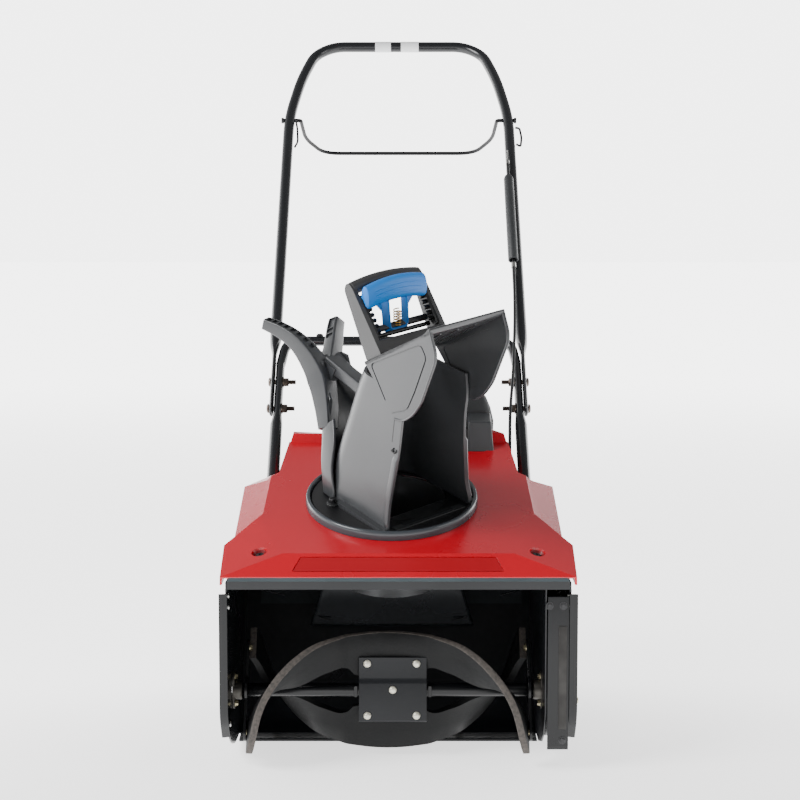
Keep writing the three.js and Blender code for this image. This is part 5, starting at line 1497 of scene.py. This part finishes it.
def rear_controls():
    cap_base = middle("fuel_cap")
    cap_base.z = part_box("fuel_cap")[0][2]
    body = lathe("cap", [(0, 0), (26, 0), (27, 1), (27, 15), (25.6, 18), (23, 19), (0, 19)], cap_base,
        (0, 0, 1), 72)
    grips = []
    for k in range(24):
        a = 2 * pi * k / 24
        out = Vector((cos(a), sin(a), 0))
        grips.append(rod("grip", cap_base + out * 0.0267 + Vector((0, 0, 0.002)),
            cap_base + out * 0.0267 + Vector((0, 0, 0.0155)), 1.3, 10))
    bar = box("bar", -19, 19, 466, 474, 489, 492.5)
    bar.data.transform(Matrix.Translation(cap_base + Vector((0, 0, 0.0175)) - mm(0, 470, 489)))
    piece(merge("fuel_cap_ribbed", body, bar, *grips), "cap", MATT_BLACK, "fuel_cap", bevel=0.6)
    place = front_middle("primer_bulb")
    dome = [(14 * cos(t), 13 * sin(t)) for t in [radians(90 * k / 12) for k in range(13)]]
    bulb = lathe("primer_bulb_dome", [(0, 0), (14, 0)] + dome[1:-1] + [(0, 13)], place, (0, 1, 0), 48)
    piece(bulb, "primer", RED, "primer_bulb", angle=60)
    ring = lathe("primer_ring", [(14.7, 0), (18, 0), (18, 2.2), (16.5, 3.2), (14.7, 3.2)], place,
        (0, 1, 0), 48, closed=True)
    piece(ring, "machine", MATT_BLACK, angle=40)
    place = front_middle("choke_knob")
    knob = lathe("knob", [(0, 0), (15, 0), (15, 6), (13.6, 9), (12, 10), (0, 10)], place, (0, 1, 0), 56)
    wing = side_plate("wing", rounded([(555, 316), (566, 318), (566, 342), (555, 344)], 2.5, 4), 36.8,
        43.2)
    piece(merge("choke_knob_body", knob, wing), "choke", MATT_BLACK, "choke_knob", bevel=0.9, segments=3)
    place = front_middle("ignition_key")
    stem = lathe("stem", [(0, 0), (5, 0), (5, 8), (4, 9), (0, 9)], place, (0, 1, 0), 32)
    paddle_key = side_plate("bow", rounded(rect(556, 572, 319, 341), 6, 6), 98.5, 101.5,
        [circle(567, 330, 2.4, 20)])
    piece(merge("ignition_key_body", stem, paddle_key), "key", RED, "ignition_key", "black_plastic",
        bevel=0.5)
    low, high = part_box("recoil_handle")
    z = (low[2] + high[2]) * 500
    path = smooth_path([mm(-53, 565, z), mm(-45, 570, z), mm(-20, 572.5, z), mm(5, 570, z),
        mm(13, 565, z)], 8)
    n = len(path)
    sizes = [(7.2 * (1 - 0.35 * abs(2 * k / (n - 1) - 1) ** 6),
        7.4 * (1 - 0.35 * abs(2 * k / (n - 1) - 1) ** 6)) for k in range(n)]
    bar = tube("bar", path, 7, 24, sizes)
    collar = lathe("collar", [(0, 0), (5, 0), (5.4, 3), (7, 14), (0, 14)], mm(-20, 556, z), (0, 1, 0), 32)
    piece(merge("recoil_grip_bar", bar, collar), "recoil_grip", MATT_BLACK, "recoil_handle", bevel=0.8,
        angle=50)
    rope = rod("recoil_rope", mm(-20, 372, z), mm(-20, 560, z), 1.9, 16)
    piece(rope, "recoil_grip", ROPE, angle=60)


def cad_finish():
    """Frame nodes that are shown as they are, with better finishes."""
    finishes = {"chassis": (BLACK, 0.8), "axle": (STEEL, 0.5), "engine_block": (CAST, 1.2),
        "driven_pulley": (CAST, 0.3), "crankshaft": (STEEL, 0.3), "drive_belt": (RUBBER, 0.4),
        "idler_arm": (ZINC, 0.4), "idler_pulley": (CAST, 0.3),}
    for node, (finish, width) in finishes.items():
        bevelled(painted(frame["nodes"][node], finish), width, 2, 35)


# ---------- stage ----------

# The camera stands in front of the machine and looks down by CAMERA_DROP degrees.
CAMERA_LENS = 74.66
CAMERA_PLACE = (2.2, -2244, 714)
CAMERA_DROP = 5


def area(name, place, target, size, power):
    light = bpy.data.lights.new(name, "AREA")
    light.shape = "RECTANGLE"
    light.size, light.size_y = size
    light.energy = power
    obj = bpy.data.objects.new(name, light)
    obj.location = place
    obj.rotation_euler = (Vector(target) - Vector(place)).to_track_quat("-Z", "Y").to_euler()
    bpy.context.scene.collection.objects.link(obj)


def map_range(nodes, links, value, low, high, start, end):
    part = nodes.new("ShaderNodeMapRange")
    part.interpolation_type = "SMOOTHSTEP"
    for name, number in (("From Min", low), ("From Max", high), ("To Min", start), ("To Max", end)):
        part.inputs[name].default_value = number
    links.new(value, part.inputs["Value"])
    return part.outputs["Result"]


def combined(nodes, links, a, b, operation):
    node = nodes.new("ShaderNodeMath")
    node.operation = operation
    for value, socket in ((a, node.inputs[0]), (b, node.inputs[1])):
        if isinstance(value, float):
            socket.default_value = value
        else:
            links.new(value, socket)
    return node.outputs[0]


def horizon(nodes, links, direction):
    """How bright the studio wall is in a direction: bright behind the machine, dim in front."""
    split = nodes.new("ShaderNodeSeparateXYZ")
    links.new(direction, split.inputs["Vector"])
    return map_range(nodes, links, split.outputs["Y"], -0.45, 0.85, 0.4, 4.6), split


def sky(world):
    nodes, links = world.node_tree.nodes, world.node_tree.links
    back = nodes["Background"]
    back.inputs["Color"].default_value = (1, 1, 1, 1)
    place = nodes.new("ShaderNodeTexCoord")
    wall, split = horizon(nodes, links, place.outputs["Generated"])
    fade = map_range(nodes, links, split.outputs["Z"], 0.16, 0.40, 1.0, 0.06)
    ring = combined(nodes, links, wall, fade, "MULTIPLY")
    left = map_range(nodes, links, split.outputs["X"], -0.4, -1.0, 0.15, 1.5)
    total = combined(nodes, links, ring, left, "ADD")
    links.new(total, back.inputs["Strength"])


def paper_floor():
    """White paper that gets brighter away from the machine, up to the studio wall."""
    paper = bpy.data.materials.new("paper")
    paper.use_nodes = True
    nodes, links = paper.node_tree.nodes, paper.node_tree.links
    shader = nodes["Principled BSDF"]
    shader.inputs["Base Color"].default_value = (0.92, 0.92, 0.92, 1)
    shader.inputs["Roughness"].default_value = 0.9
    shader.inputs["Specular IOR Level"].default_value = 0.0
    shader.inputs["Emission Color"].default_value = (1, 1, 1, 1)
    place = nodes.new("ShaderNodeNewGeometry")
    length = nodes.new("ShaderNodeVectorMath")
    length.operation = "LENGTH"
    links.new(place.outputs["Position"], length.inputs[0])
    unit = nodes.new("ShaderNodeVectorMath")
    unit.operation = "NORMALIZE"
    links.new(place.outputs["Position"], unit.inputs[0])
    wall, split = horizon(nodes, links, unit.outputs["Vector"])
    near = map_range(nodes, links, length.outputs["Value"], 0.9, 7.0, 0.0, 1.0)
    feet = map_range(nodes, links, split.outputs["Y"], -1.0, 0.0, 1.5, 2.4)
    inside = combined(nodes, links, feet, combined(nodes, links, 1.0, near, "SUBTRACT"), "MULTIPLY")
    outside = combined(nodes, links, wall, near, "MULTIPLY")
    total = combined(nodes, links, inside, outside, "ADD")
    links.new(total, shader.inputs["Emission Strength"])
    return paper


def stage():
    world = bpy.data.worlds.new("studio")
    bpy.context.scene.world = world
    world.use_nodes = True
    sky(world)
    floor = make("floor", [Vector(p) for p in ((-60, -40, 0), (60, -40, 0), (60, 160, 0), (-60, 160, 0))],
        [[0, 1, 2, 3]])
    painted(floor, paper_floor())
    area("key", (-2.2, -1.6, 2.4), (0, -0.3, 0.4), (1.4, 1.4), 95)
    area("fill", (2.6, -1.4, 1.6), (0, -0.3, 0.4), (1.2, 1.2), 16)
    area("rim_left", (-2.8, 1.6, 1.5), (0, 0, 0.6), (1.0, 1.6), 22)
    area("rim_right", (2.8, 1.6, 1.5), (0, 0, 0.6), (1.0, 1.6), 22)
    camera = bpy.data.cameras.new("camera")
    camera.lens = CAMERA_LENS
    camera.sensor_width = 36
    view = bpy.data.objects.new("camera", camera)
    view.location = mm(*CAMERA_PLACE)
    view.rotation_euler = (radians(90 - CAMERA_DROP), 0, 0)
    bpy.context.scene.collection.objects.link(view)
    bpy.context.scene.camera = view


hood()
housing_sides()
housing()
scraper()
throat()
belt_side()
rotor()
chute()
deflector()
grip()
trigger()
chute_handle()
handles()
bail()
cable_and_guides()
wheels()
engine()
cad_finish()
stage()
